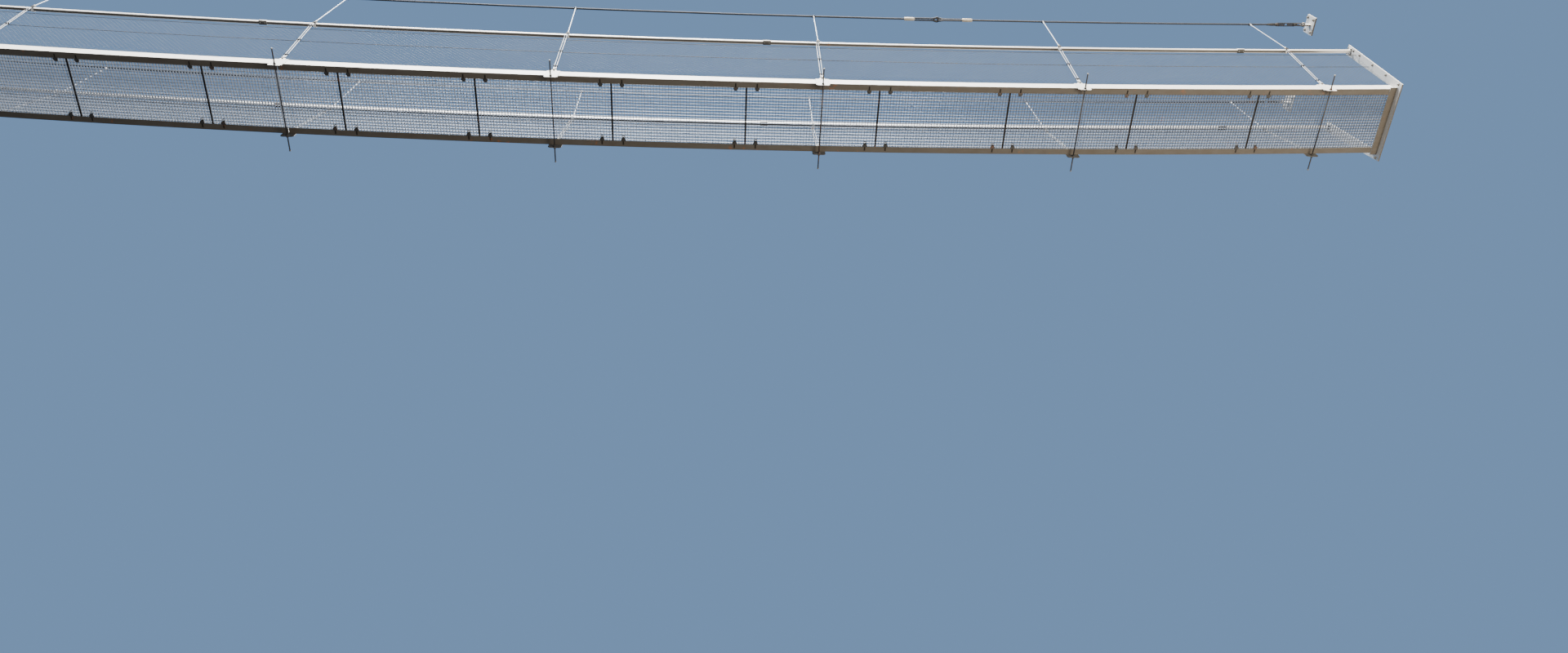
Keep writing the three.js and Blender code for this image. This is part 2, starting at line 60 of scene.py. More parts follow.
# Line of the bridge
END = 9.9
END_RISE = 0.7
KINK = 1.0
BAY = 3.0
STATIONS = (-9.0, -6.4, -3.0, 0.0, 3.0, 6.0, 9.0)
KINKS_A_SIDE = math.ceil(END / KINK)
KINKS = np.arange(-KINKS_A_SIDE, KINKS_A_SIDE + 1) * KINK
KINK_HEIGHTS = END_RISE * (KINKS / END) ** 2

# Height of the frame's origin above the beams' underside at the ends
FOOT_MIDDLE = -0.0265

# Deck
HALF = 0.4
BEAM_HEIGHT = 0.155
BEAM_FLANGE = 0.07
BEAM_THICK = 0.007
BEAM_ROOT = 0.009
BEAM_TOE = 0.0045
BEAM_CORNER = 0.0012
BEAM_JOINT = 0.003
BEAM_CUTS = (-BAY, BAY)
FLANGE_TOE = HALF - BEAM_FLANGE
GRATING_BOTTOM = 0.0073
GRATING_TOP = 0.0373
GRATING_EDGE = 0.392
PANEL_GAP = 0.003
PANEL = BAY / 2
FIRST_CROSSBAR = -8.35
CROSSBARS = [FIRST_CROSSBAR + PANEL * i for i in range(12)]
CROSSBAR_WIDE = 0.02
PANELS_PER_MODULE = 2
LONG_CELLS = 23
BAND = 0.003
CLIP_FROM_CROSSBAR = 0.12
CLIP_IN = 0.017
JAW_HALF = 0.027
JAW_OVER = 0.004
JAW_DEEP = 0.036
JAW_THICK = 0.0065

# Bracket plates and cross rods
PLATE_HALF = 0.075
PLATE_THICK = 0.008
PLATE_BOTTOM = -0.09
PLATE_CHAMFER = 0.02
LUG_HALF = 0.03
LUG_TOP = 0.198
LUG_CHAMFER = 0.012
PIN_Z = 0.171
ROD_Z = -0.06
ROD_RADIUS = 0.008
ROD_REACH = 0.19
ROD_CAP = 0.012
# Thickness of a dark sheet of painted shade laid on each bracket plate's inner face
SHADE_SHEET = 0.0004
WELD = 0.003

# Handrails and cables
RAIL_Y = 0.508
RAIL_Z = 1.27
RAIL_RADIUS = 0.02415
SLEEVES = (-3.62, 2.38, 8.38)
SLEEVE_RADIUS = 0.029
SLEEVE_HALF = 0.048
RAIL_FLANGE = 0.045
RAIL_FLANGE_THICK = 0.008
CABLE_Y = 0.548
CABLE_Z = 2.485
CABLE_RADIUS = 0.011
CABLE_STRANDS = 0.0125
SPLICE_X = 4.65
FERRULE_REACH = 0.387
FERRULE_HALF = 0.07
FERRULE_RADIUS = 0.022
EYE_ROPE = 0.0115
EYE_SPREAD = 0.0125
EYE_BEND = 0.0285
EYE_CENTRE = 0.017
EYE_WAIST = 0.075
EYE_TILT = math.radians(25)

# Hangers
ROPE_RADIUS = 0.006
HANGER_Y = HALF + PLATE_THICK / 2
HANGER_RAIL_Y = RAIL_Y + RAIL_RADIUS + ROPE_RADIUS + 0.001
LEG_SPREAD = 0.013
THIMBLE_Z = 0.228
EYE_RADIUS = 0.0165
SHACKLE_SPREAD = 0.0108
SHACKLE_BAR = 0.0036
SHACKLE_BEND = 0.0158
TAIL_TOP = 1.19
CLIP_HEIGHTS = (0.29, 0.725, 1.15)
CLIP_HALF = 0.008
SADDLE_HALF = 0.018
SADDLE_SIDE = 0.016

# How far along the bridge each saddle is from the foot of its hanger
SADDLE_SHIFTS = {"near": (0, 0, 0, -0.08, 0, 0.07, 0), "far": (0, 0, 0, -0.05, 0, 0, 0)}

# Netting
NET_FOOT = 0.1
NET_BEND = 0.262
NET_TOP = 1.1
MIDDLE_WIRE = 0.725
EDGE_WIRE = 0.0034
NET_FOOT_Y = 0.3875
NET_CLEAR = 0.0125
NET_CUTS = (-6.4, -BAY, BAY, 2 * BAY)
NET_JOINT = 0.001

# Ends
FRAME_THICK = 0.015
FACE = END - FRAME_THICK
FRAME_FOOT = 0.48
FRAME_HEAD = 0.575
FRAME_BOTTOM = -0.09
FRAME_TOP = 1.33
FRAME_BOLTS = (-0.02, 0.3, 0.65, 1.0, 1.17)
FRAME_BOLT_INSET = 0.026
ANCHOR_THICK = 0.02
ANCHOR_BOLT = 0.085
ANCHOR_PIN = 9.79
FORK_LENGTH = 0.11
FORK_CHEEK = 0.0095
FORK_WALL = 0.009
TENSIONER = 0.3
SOCKET = 0.13

# Camera, as the photograph was taken: from well below, looking up at the deck
CAMERA_AT = (2.15004, -4.03066, -12.1153)
CAMERA_CLIMB = math.radians(62)
CAMERA_TURNS = (-0.0172, -0.03959, -0.02782)
IMAGE_WIDTH = 1920
FOCAL_PIXELS = 1363.19
SENSOR = 36.0

# Studio
FLOOR_Z = -14.5
FLOOR_HALF = 90.0
SKY = (0.17, 0.29, 0.50)


def metres(name, description, default):
    return bpy.props.FloatProperty(name=name, description=description, default=default, unit="LENGTH")


def paint(name, description, default):
    return bpy.props.FloatVectorProperty(name=name, description=description, default=default, subtype="COLOR")


class FootbridgeSizes(bpy.types.PropertyGroup):
    """Sizes of the fine parts."""

    grating_pitch: metres("Grating pitch", "From one cross bar of the grating to the next", 1 / 30)
    grating_bar: metres("Grating bar", "Thickness of the grating's bars", 0.0026)
    net_diagonal: metres("Netting diagonal", "From corner to corner of one mesh of the netting", 0.0566)
    net_wire: metres("Netting wire", "Thickness of the netting's wire", 0.002)
    tie_pitch: metres("Tie pitch", "From one netting tie to the next", 0.25)
    thread: metres("Thread", "Pitch of the threads on rods", 0.0025)
    lay: bpy.props.FloatProperty(
        name="Lay", description="Length of one turn of a rope's strands, in rope diameters", default=6.5)


class FootbridgeColours(bpy.types.PropertyGroup):
    """Colours of the finishes."""

    beam: paint("Beams", "Zinc on the edge beams", (0.80, 0.775, 0.72))
    rail: paint("Handrails", "Zinc on the handrail tubes", (0.80, 0.79, 0.76))
    plate: paint("Plates", "Zinc on brackets, frames and anchors", (0.70, 0.68, 0.63))
    grating: paint("Grating", "Zinc on the grating", (0.31, 0.33, 0.365))
    # Grime also serves as painted shade: it darkens every face that looks down
    grime_and_shade: paint("Grime", "Brown dirt on undersides", (0.020, 0.0155, 0.011))
    rust: paint("Rust", "Rust bleeding through the zinc", (0.16, 0.06, 0.022))
    cable: paint("Main cables", "Greased dark rope", (0.040, 0.048, 0.066))
    hanger: paint("Hangers", "Bright rope", (0.60, 0.62, 0.64))
    ferrule: paint("Ferrules", "Pressed aluminium", (0.56, 0.50, 0.40))
    clip: paint("Clips", "Dark steel of clips and clamps", (0.022, 0.021, 0.020))
    net: paint("Netting", "Zinc coated wire of the netting", (0.15, 0.162, 0.175))
    edge: paint("Netting edges", "Dull wires that the netting is tied to", (0.06, 0.062, 0.065))


# Places


def deck_line(x):
    """Height of the beams' underside above midspan, straight from kink to kink."""
    return np.interp(x, KINKS, KINK_HEIGHTS)


BASE = -float(deck_line(END)) - FOOT_MIDDLE


def about(middle, half):
    """The two places a half width to either side of a middle."""
    return middle - half, middle + half


def follow(points):
    """Points measured along the sagging deck line, in the frame."""
    points = np.array(points, float)
    points[:, 2] += deck_line(points[:, 0]) + BASE
    points[:, 0] += END
    return points


def level_with(x, start=0.0):
    """Carries points measured from start to the frame, all raised as the deck line is at x."""
    shift = np.array([start + END, 0.0, float(deck_line(x)) + BASE])
    return lambda points: np.asarray(points, float) + shift


def lean(z):
    """How far from the middle of the deck a hanger is, at a height below the handrail."""
    return HANGER_Y + (HANGER_RAIL_Y - HANGER_Y) * (z - PIN_Z) / (RAIL_Z - PIN_Z)


def leg_x(z, way):
    """Where the two legs of a doubled hanger are along the bridge, the tail leg at way -1."""
    top = 0.0 if way > 0 else -2 * LEG_SPREAD
    return way * LEG_SPREAD + (top - way * LEG_SPREAD) * (z - THIMBLE_Z) / (RAIL_Z - THIMBLE_Z)


def net_y(z):
    """How far from the middle of the deck the netting is, at each height."""
    return np.where(z <= NET_BEND, NET_FOOT_Y, lean(z) - NET_CLEAR)


def stretches(cuts, joint):
    """The numbered stretches from end to end of the bridge between cuts, with a joint left off both ends."""
    edges = (-FACE, *cuts, FACE)
    pairs = zip(edges, edges[1:])
    return [(number, start + joint, end - joint) for number, (start, end) in enumerate(pairs, 1)]


def stops(start, end):
    """The ends of a stretch of the bridge and the kinks between them."""
    inside = KINKS[(KINKS > start) & (KINKS < end)]
    return np.concatenate(([start], inside, [end]))


# Shapes: each is its points, its faces and which of those are smooth


def facing_out(points, faces):
    """The faces of a closed shape, turned to face out of it."""
    volume = 0.0
    middle = points.mean(axis=0)
    for size in {len(face) for face in faces}:
        corners = points[np.array([face for face in faces if len(face) == size])] - middle
        for i in range(1, size - 1):
            volume += np.einsum("ij,ij->", corners[:, 0], np.cross(corners[:, i], corners[:, i + 1]))
    return faces if volume > 0 else [face[::-1] for face in faces]


def loft(rings, ring=False, smooth=False):
    """A skin over cross sections with as many points each; ring joins the last to the first."""
    rings = np.asarray(rings, float)
    count, sides = rings.shape[:2]
    index = np.arange(count * sides).reshape(count, sides)
    here = index if ring else index[:-1]
    ahead = np.roll(index, -1, axis=0) if ring else index[1:]
    quads = np.stack([here, np.roll(here, -1, axis=1), np.roll(ahead, -1, axis=1), ahead], axis=-1)
    faces = quads.reshape(-1, 4).tolist()
    flags = [smooth] * len(faces)
    if not ring:
        faces += [index[0][::-1].tolist(), index[-1].tolist()]
        flags += [False, False]
    points = rings.reshape(-1, 3)
    return points, facing_out(points, faces), flags


def circle(radius, sides):
    angles = 2 * np.pi * (np.arange(sides) + 0.5) / sides
    return radius * np.stack([np.cos(angles), np.sin(angles)], axis=-1)


def along(path, section, up, ring=False):
    """A section, or one for each point, carried along a path with its second axis leaning towards up."""
    path = np.asarray(path, float)
    ahead = np.roll(path, -1, 0) - np.roll(path, 1, 0) if ring else np.gradient(path, axis=0)
    ahead /= np.linalg.norm(ahead, axis=1, keepdims=True)
    aside = np.cross(ahead, up)
    aside /= np.linalg.norm(aside, axis=1, keepdims=True)
    rise = np.cross(aside, ahead)
    section = np.asarray(section, float)
    rings = path[:, None] + aside[:, None] * section[..., :1] + rise[:, None] * section[..., 1:]
    return loft(rings, ring, smooth=True)


def spaced(path, step):
    """Points at even distances along a path, and those distances."""
    path = np.asarray(path, float)
    reach = np.concatenate(([0.0], np.cumsum(np.linalg.norm(np.diff(path, axis=0), axis=1))))
    count = max(2, int(round(reach[-1] / step)) + 1)
    places = np.linspace(0.0, reach[-1], count)
    return np.stack([np.interp(places, reach, path[:, i]) for i in range(3)], axis=-1), places


def rope(path, radius, lay, up, strands=6, points_per_strand=2, groove=0.86, steps=12):
    """A stranded rope: a lobed section that turns once in every lay, which is given in rope diameters."""
    turn = lay * 2 * radius
    path, places = spaced(path, turn / steps)
    count = strands * points_per_strand
    angles = 2 * np.pi * np.arange(count) / count + 2 * np.pi * places[:, None] / turn
    reach = np.where(np.arange(count) % points_per_strand == 0, groove, 1.0) * radius
    section = np.stack([np.cos(angles) * reach, np.sin(angles) * reach], axis=-1)
    return along(path, section, up)


def arc(centre, radius, start, end, count, plane):
    """Points round a centre; plane names the two axes that the angle turns through."""
    angles = np.linspace(start, end, count)
    points = np.tile(np.asarray(centre, float), (count, 1))
    points[:, plane[0]] += radius * np.cos(angles)
    points[:, plane[1]] += radius * np.sin(angles)
    return points


def turned(profile, foot, axis, sides=16, smooth=True):
    """A form turned about an axis, from distances along it and radii there."""
    axis = np.asarray(axis, float) / np.linalg.norm(axis)
    across = np.cross(axis, UP if abs(axis[2]) < 0.9 else ALONG)
    across /= np.linalg.norm(across)
    spokes = circle(1.0, sides) @ np.stack([across, np.cross(axis, across)])
    rings = [np.asarray(foot, float) + axis * distance + spokes * radius for distance, radius in profile]
    return loft(rings, smooth=smooth)


def chamfered(start, end, radius, edge, drop):
    """The profile of a bar that loses a drop in radius over the last edge of each end."""
    return [(start, radius - drop), (start + edge, radius), (end - edge, radius), (end, radius - drop)]


def disc(foot, axis, high, radius, sides=20):
    return turned([(0, radius), (high, radius)], foot, axis, sides)


def hexagon(foot, axis, high, across, worn=0.06):
    """A nut or bolt head with a chamfered top."""
    profile = [(0, across), (high - 2 * worn * across, across), (high, across * (1 - 2 * worn))]
    return turned(profile, foot, axis, 6, smooth=False)


def threaded(start, axis, length, radius, pitch):
    """A bar with a ridged thread."""
    profile = []
    for i in range(int(length / pitch)):
        profile += [(i * pitch, 0.9 * radius), ((i + 0.5) * pitch, radius)]
    profile.append((length, 0.9 * radius))
    return turned(profile, start, axis, 10)


def inset(outline, distance):
    """An outline moved inwards by a distance."""
    outline = np.asarray(outline, float)
    ahead = np.roll(outline, -1, 0) - outline
    ahead /= np.linalg.norm(ahead, axis=1, keepdims=True)
    crossing = outline[:, 0] * np.roll(outline[:, 1], -1) - np.roll(outline[:, 0], -1) * outline[:, 1]
    way = np.sign(crossing.sum())
    after = way * np.stack([-ahead[:, 1], ahead[:, 0]], axis=-1)
    before = np.roll(after, 1, 0)
    share = distance / (1 + np.einsum("ij,ij->i", before, after))
    return outline + (before + after) * share[:, None]


def plate(outline, low, high, axis, bevel=0.001):
    """A plate of an outline between two places on an axis, with bevelled edges."""
    step = math.copysign(bevel, high - low)
    inner = inset(outline, bevel)
    rings = [(low, inner), (low + step, outline), (high - step, outline), (high, inner)]
    return loft([np.insert(np.asarray(ring, float), axis, place, axis=1) for place, ring in rings])


def rectangle(us, vs, corner):
    """A rectangle with its corners cut off."""
    (u0, u1), (v0, v1) = sorted(us), sorted(vs)
    right = [(u1 - corner, v0), (u1, v0 + corner), (u1, v1 - corner), (u1 - corner, v1)]
    left = [(u0 + corner, v1), (u0, v1 - corner), (u0, v0 + corner), (u0 + corner, v0)]
    return right + left


def block(xs, ys, zs, bevel=0.001):
    """A block with bevelled edges."""
    return plate(rectangle(xs, ys, bevel), min(zs), max(zs), 2, bevel)


def collar(x, y, z, inner, outer, half, sides=24, bevel=0.0012):
    """A ring about an axis that runs along the bridge."""
    section = rectangle((inner, outer), (-half, half), bevel)
    rings = [[(x + v, y + u * cos, z + u * sin) for u, v in section] for cos, sin in circle(1.0, sides)]
    return loft(rings, ring=True)


def swept(section, start, end, smooth=False):
    """A section of places across and heights, carried along the deck line."""
    rings = [np.insert(np.asarray(section, float), 0, x, axis=1) for x in stops(start, end)]
    return loft(rings, smooth=smooth)


def boxes(lows, highs):
    """Many plain bars at once, from their lowest and highest corners."""
    lows, highs = np.asarray(lows, float), np.asarray(highs, float)
    corners = np.array([(i & 1, i >> 1 & 1, i >> 2 & 1) for i in range(8)])
    points = np.where(corners[None], highs[:, None], lows[:, None]).reshape(-1, 3)
    one = np.array([(0, 2, 3, 1), (4, 5, 7, 6), (0, 1, 5, 4), (2, 6, 7, 3), (0, 4, 6, 2), (1, 3, 7, 5)])
    faces = (one[None] + 8 * np.arange(len(lows))[:, None, None]).reshape(-1, 4).tolist()
    return points, faces, [False] * len(faces)


def u_bolt(x, y, z, spread, bar, drop):
    """A round bar bent over a line along the bridge, both its legs ending a drop below that line."""
    bend = arc((x, y, z), spread, math.pi, 0, 13, (1, 2))
    path, _ = spaced([(x, y - spread, z - drop), *bend, (x, y + spread, z - drop)], 0.004)
    return along(path, circle(bar, 10), ALONG)


def thimble(heart, tip, up, half, lip, wall, step=0.003):
    """A grooved eye round a heart that closes at its tip; the groove has a half width, lips and a wall."""
    left = [(lip, -half), (lip, wall - half), (0, wall - half)]
    right = [(0, half - wall), (lip, half - wall), (lip, half)]
    path, _ = spaced([*heart, tip, heart[0]], step)
    return along(path[:-1], [*left[2:], *right, (-wall, half), (-wall, -half), *left[:2]], up, ring=True)


def put_in_scene(name, data):
    """A new object of its data, in the scene's own collection."""
    made = bpy.data.objects.new(name, data)
    bpy.context.scene.collection.objects.link(made)
    return made


class Piece:
    """One joined mesh, gathered part by part."""

    def __init__(self, *finishes, side=1, place=follow):
        self.finishes, self.side, self.place = finishes, side, place
        self.points, self.faces, self.flags, self.slots = [], [], [], []
        self.count = 0

    def add(self, finish, *shapes):
        for points, faces, flags in shapes:
            self.points.append(self.place(np.asarray(points, float) * (1.0, self.side, 1.0)))
            self.faces += [[corner + self.count for corner in face[::self.side]] for face in faces]
            self.flags += flags
            self.slots += [self.finishes.index(finish)] * len(faces)
            self.count += len(points)

    def bolted(self, foot, axis, size, finish="bolt_zinc"):
        """A washer, a nut and the end of its bolt, standing on a face."""
        axis, foot = np.asarray(axis, float), np.asarray(foot, float)
        washer, nut, end = 0.15 * size, 0.8 * size, 0.3 * size
        self.add(finish, disc(foot, axis, washer, size, 16))
        self.add(finish, hexagon(foot + axis * washer, axis, nut, 0.87 * size))
        tip = [(0, 0.5 * size), (0.8 * end, 0.5 * size), (end, 0.42 * size)]
        self.add(finish, turned(tip, foot + axis * (washer + nut), axis, 10))

    def build(self, name, slot, *nodes):
        """Makes the object, which rides on the bridge and stands for the nodes."""
        mesh = bpy.data.meshes.new(name)
        mesh.from_pydata(np.concatenate(self.points), [], self.faces)
        mesh.polygons.foreach_set("use_smooth", self.flags)
        mesh.polygons.foreach_set("material_index", self.slots)
        for finish in self.finishes:
            mesh.materials.append(finish_of(finish))
        mesh.update()
        made = put_in_scene(name, mesh)
        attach(made, "root")
        if nodes:
            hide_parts(*nodes)


# Edge beams


def rounded(outline, radii, steps=3):
    """An outline of square corners, each rounded by its own radius."""
    outline = np.asarray(outline, float)
    points = []
    for before, corner, after, radius in zip(np.roll(outline, 1, 0), outline, np.roll(outline, -1, 0), radii):
        back = (before - corner) / np.linalg.norm(before - corner)
        ahead = (after - corner) / np.linalg.norm(after - corner)
        centre = corner + (back + ahead) * radius
        for angle in np.linspace(0, math.pi / 2, steps + 1):
            points.append(centre - ahead * radius * math.cos(angle) - back * radius * math.sin(angle))
    return np.array(points)


def beam_section():
    """The far angle, its leg outside and its flange turned in."""
    inner = HALF - BEAM_THICK
    leg = [(HALF, 0), (HALF, BEAM_HEIGHT), (inner, BEAM_HEIGHT), (inner, BEAM_THICK)]
    radii = (BEAM_CORNER, BEAM_CORNER, BEAM_TOE, BEAM_ROOT, BEAM_TOE, BEAM_CORNER)
    return rounded([*leg, (FLANGE_TOE, BEAM_THICK), (FLANGE_TOE, 0)], radii)


def make_beams():
    for label, side in SIDES:
        for number, start, end in stretches(BEAM_CUTS, BEAM_JOINT):
            beam = Piece("beam_zinc", side=side)
            beam.add("beam_zinc", swept(beam_section(), start, end))
            beam.build(f"rolled_beam_{label}_{number}", "beam_zinc", f"edge_beam_{label}_{number}")


# Deck


def bar_widths(lines, half):
    """Where the bars on lines start and end: thin ones inside, and a band at each edge of the panel."""
    first, last = lines[0], lines[-1]
    return [*(about(line, half) for line in lines[1:-1]), (first, first + BAND), (last - BAND, last)]


def panel_bars(start, end, sizes):
    """A grating panel of bars as deep as each other, with a band round it."""
    half = sizes.grating_bar / 2
    count = max(1, int(round((end - start) / sizes.grating_pitch)))
    lefts, rights = zip(*bar_widths(np.linspace(start, end, count + 1), half))
    lows = [(x, -GRATING_EDGE, GRATING_BOTTOM) for x in lefts]
    highs = [(x, GRATING_EDGE, GRATING_TOP) for x in rights]
    yield boxes(lows, highs)
    for low, high in bar_widths(np.linspace(-GRATING_EDGE, GRATING_EDGE, LONG_CELLS + 1), half):
        section = [(low, GRATING_BOTTOM), (high, GRATING_BOTTOM), (high, GRATING_TOP), (low, GRATING_TOP)]
        yield swept(section, start, end)


def make_deck(sizes):
    edges = [-FACE - PANEL_GAP, *CROSSBARS, FACE + PANEL_GAP]
    panels = list(zip(edges, edges[1:]))
    for number, first in enumerate(range(0, len(panels), PANELS_PER_MODULE), 1):
        deck = Piece("grating_zinc", "crossbar_shaded_zinc")
        for start, end in panels[first:first + PANELS_PER_MODULE]:
            deck.add("grating_zinc", *panel_bars(start + PANEL_GAP, end - PANEL_GAP, sizes))
            if end in CROSSBARS:
                span = about(end, CROSSBAR_WIDE / 2)
                # The crossbar under the panel joint, painted dark as shade
                deck.add("crossbar_shaded_zinc", block(span, (-FLANGE_TOE, FLANGE_TOE), (0, GRATING_BOTTOM)))
        deck.build(f"grating_bars_{number}", "grating_zinc", f"deck_grating_{number}")


def make_clips():
    """Grating clips: a strap under the flange, a round jaw at its toe, and a bolt up to a saddle on top."""
    clips = Piece("clip_steel", "strap_shaded_zinc", "bolt_zinc")
    strap_half, strap_heel, strap_thick = 0.0075, 0.022, 0.0035
    saddle_half, saddle_reach, saddle_thick, bolt = 0.016, 0.035, 0.003, 0.004
    y, heel = FLANGE_TOE - CLIP_IN, FLANGE_TOE + JAW_OVER
    right = [(JAW_HALF - 0.006, 0), (JAW_HALF, 0.008), (JAW_HALF, 0.02), (0.013, JAW_DEEP)]
    jaw = [(u, heel - v) for u, v in right + [(-u, v) for u, v in reversed(right)]]
    on_top = (GRATING_TOP, GRATING_TOP + saddle_thick)
    for x in np.add.outer(CROSSBARS, about(0, CLIP_FROM_CROSSBAR)).ravel():
        strap = block(about(x, strap_half), (FLANGE_TOE, HALF - strap_heel), (-strap_thick, 0))
        below = (x, y, -JAW_THICK)
        for _, side in SIDES:
            clips.side = side
            # The strap under the flange is painted dark as shade
            clips.add("strap_shaded_zinc", strap)
            clips.add("clip_steel", plate([(x + u, v) for u, v in jaw], -JAW_THICK, 0, 2, bevel=0.0015))
            clips.add("bolt_zinc", block(about(x, saddle_half), about(y, saddle_reach), on_top))
            clips.add("clip_steel", disc(below, UP, GRATING_TOP + JAW_THICK, bolt, sides=8))
            clips.add("clip_steel", hexagon(below, DOWN, high=0.005, across=0.0085))
            clips.bolted((x, y, on_top[1]), UP, 2 * bolt)
    clips.build("grating_clips", "plate_zinc")


# Bracket plates and cross rods


def bracket_outline():
    foot = PLATE_HALF - PLATE_CHAMFER
    half = [(foot, PLATE_BOTTOM), (PLATE_HALF, PLATE_BOTTOM + PLATE_CHAMFER), (PLATE_HALF, BEAM_HEIGHT),
            (LUG_HALF, BEAM_HEIGHT), (LUG_HALF, LUG_TOP - LUG_CHAMFER), (LUG_HALF - LUG_CHAMFER, LUG_TOP)]
    return half + [(-x, z) for x, z in reversed(half)]


def weld_bead(way, root=0.0005):
    """A fillet of weld down one edge of a bracket plate, against the beam, its root inside the plate."""
    edge = way * (PLATE_HALF - root)
    section = np.array([(edge, HALF), (edge + way * WELD, HALF), (edge, HALF + WELD)])
    return loft([np.insert(section, 2, z, axis=1) for z in (WELD, BEAM_HEIGHT - WELD)])


def make_brackets(sizes):
    outer = HALF + PLATE_THICK
    stub = ROD_REACH - PLATE_THICK - ROD_CAP
    core, nut = 0.93 * ROD_RADIUS, 0.0165
    cap = [(0, 0.0095), (0.0015, 0.0105), (ROD_CAP - 0.003, 0.0105), (ROD_CAP, 0.0075)]
    for number, x in enumerate(STATIONS, 1):
        bracket = Piece("plate_zinc", "painted_shade_zinc", "rod_steel", "cap_zinc", place=level_with(x, x))
        bracket.add("rod_steel", disc((0, -outer, ROD_Z), ACROSS, 2 * outer, core, sides=16))
        for _, side in SIDES:
            bracket.side = side
            bracket.add("plate_zinc", plate(bracket_outline(), HALF, outer, 1))
            # A thin dark sheet on the plate's inner face: painted shade on the side away from the light
            bracket.add("painted_shade_zinc", plate(bracket_outline(), *about(HALF, SHADE_SHEET), 1, SHADE_SHEET / 2))
            bracket.add("rod_steel", threaded((0, outer, ROD_Z), ACROSS, stub, ROD_RADIUS, sizes.thread))
            bracket.add("cap_zinc", turned(cap, (0, outer + stub, ROD_Z), ACROSS))
            for y, way in ((outer, 1), (HALF, -1)):
                bracket.bolted((0, y, ROD_Z), (0, way, 0), nut, "rod_steel")
            bracket.add("plate_zinc", weld_bead(-1), weld_bead(1))
        bracket.build(f"bracket_and_rod_{number}", "plate_zinc", f"hanger_frame_{number}")


# Hangers


def leg_path(rise=0.06, turn=0.25, count=20):
    """The rope from the handrail down round the thimble, past its middle by a turn, and up to its tail."""
    above_eye = THIMBLE_Z + rise
    down = [(leg_x(z, 1), lean(z), z) for z in np.linspace(RAIL_Z, above_eye, count)]
    eye = arc((0, lean(THIMBLE_Z), THIMBLE_Z), EYE_RADIUS, turn, -math.pi - turn, 24, (0, 2))
    up = [(leg_x(z, -1), lean(z), z) for z in np.linspace(above_eye, TAIL_TOP, count)]
    return np.array([*down, *eye, *up])


def add_thimble(hanger, rise=0.038, turn=0.45):
    """The eye that the doubled rope lies in."""
    y = lean(THIMBLE_Z)
    heart = arc((0, y, THIMBLE_Z), EYE_RADIUS - ROPE_RADIUS, turn, -math.pi - turn, 20, (0, 2))
    eye = thimble(heart, (0, y, THIMBLE_Z + rise), ACROSS, half=0.0068, lip=0.0045, wall=0.0015)
    hanger.add("thimble_zinc", eye)


def add_shackle(hanger):
    """A bow round the thimble and a pin through the bracket's lug."""
    bend = THIMBLE_Z - SHACKLE_BEND
    hanger.add("thimble_zinc", u_bolt(0, HANGER_Y, bend, SHACKLE_SPREAD, SHACKLE_BAR, bend - PIN_Z))
    boss = chamfered(0, 2 * SHACKLE_BAR, 0.01, edge=0.001, drop=0.001)
    for way in (-1, 1):
        inner = HANGER_Y + way * (SHACKLE_SPREAD - SHACKLE_BAR)
        hanger.add("bolt_zinc", turned(boss, (0, inner, PIN_Z), (0, way, 0), 20))
    low, high = about(HANGER_Y, SHACKLE_SPREAD + SHACKLE_BAR)
    hanger.add("bolt_zinc", disc((0, low, PIN_Z), ACROSS, high - low, radius=0.008))
    hanger.add("bolt_zinc", hexagon((0, high, PIN_Z), ACROSS, high=0.0065, across=0.0115))


def add_rope_clip(hanger, z):
    """A plate inside the two legs and a saddle outside each, drawn together by bolts."""
    y, left, right = lean(z), leg_x(z, -1), leg_x(z, 1)
    level = about(z, CLIP_HALF)
    edge, back, soft = ROPE_RADIUS + 0.004, y - 0.008, 0.002
    hanger.add("clip_steel", block((left - edge, right + edge), (back, y - 0.0045), level))
    for x in (left, right):
        saddle = rectangle(about(x, edge), level, soft)
        hanger.add("clip_steel", plate(saddle, y + 0.001, y + 0.0105, 1, soft))
    for x in (left - edge + soft, (left + right) / 2, right + edge - soft):
        shank = disc((x, back, z), ACROSS, high=0.021, radius=0.0025, sides=8)
        nut = hexagon((x, y + 0.0085, z), ACROSS, high=0.0042, across=0.0048)
        hanger.add("clip_steel", shank, nut)


def add_rail_clamp(hanger):
    """A split band round the handrail, its jaws closed on the rope."""
    band, half, gap, height, bolt = 0.0305, 0.015, 0.0006, 0.022, 0.014
    hanger.add("thimble_zinc", collar(0, RAIL_Y, RAIL_Z, RAIL_RADIUS + 0.0001, band, half))
    ys = (RAIL_Y + 0.026, HANGER_RAIL_Y + ROPE_RADIUS + 0.004)
    for way in (-1, 1):
        hanger.add("clamp_steel", block((way * gap, way * half), ys, about(RAIL_Z, height), 0.0015))
        for z in about(RAIL_Z, bolt):
            foot = (way * half, ys[1] - 0.007, z)
            hanger.add("bolt_zinc", hexagon(foot, (way, 0, 0), high=0.0048, across=0.0058))


def add_upper_rope(hanger, shift, rise, lay):
    """The single rope from the handrail to the saddle, with a pressed sleeve at each end."""
    foot = np.array((0, HANGER_RAIL_Y, RAIL_Z))
    head = np.array((shift, CABLE_Y, CABLE_Z - SADDLE_HALF + rise))
    upwards = (head - foot) / np.linalg.norm(head - foot)
    hanger.add("hanger_rope", rope([foot, head], ROPE_RADIUS, lay, ACROSS))
    above_clamp = 0.022
    pressed = [(0, 0.0075), (0.003, 0.0105), (0.028, 0.0105), (0.032, 0.0075)]
    hanger.add("ferrule_aluminium", turned(pressed, foot + above_clamp * upwards, upwards, 20))
    sleeve = [(0, 0.0085), (0.003, 0.0095), (0.032, 0.0095), (0.037, 0.007)]
    hanger.add("thimble_zinc", turned(sleeve, head, -upwards, 20))


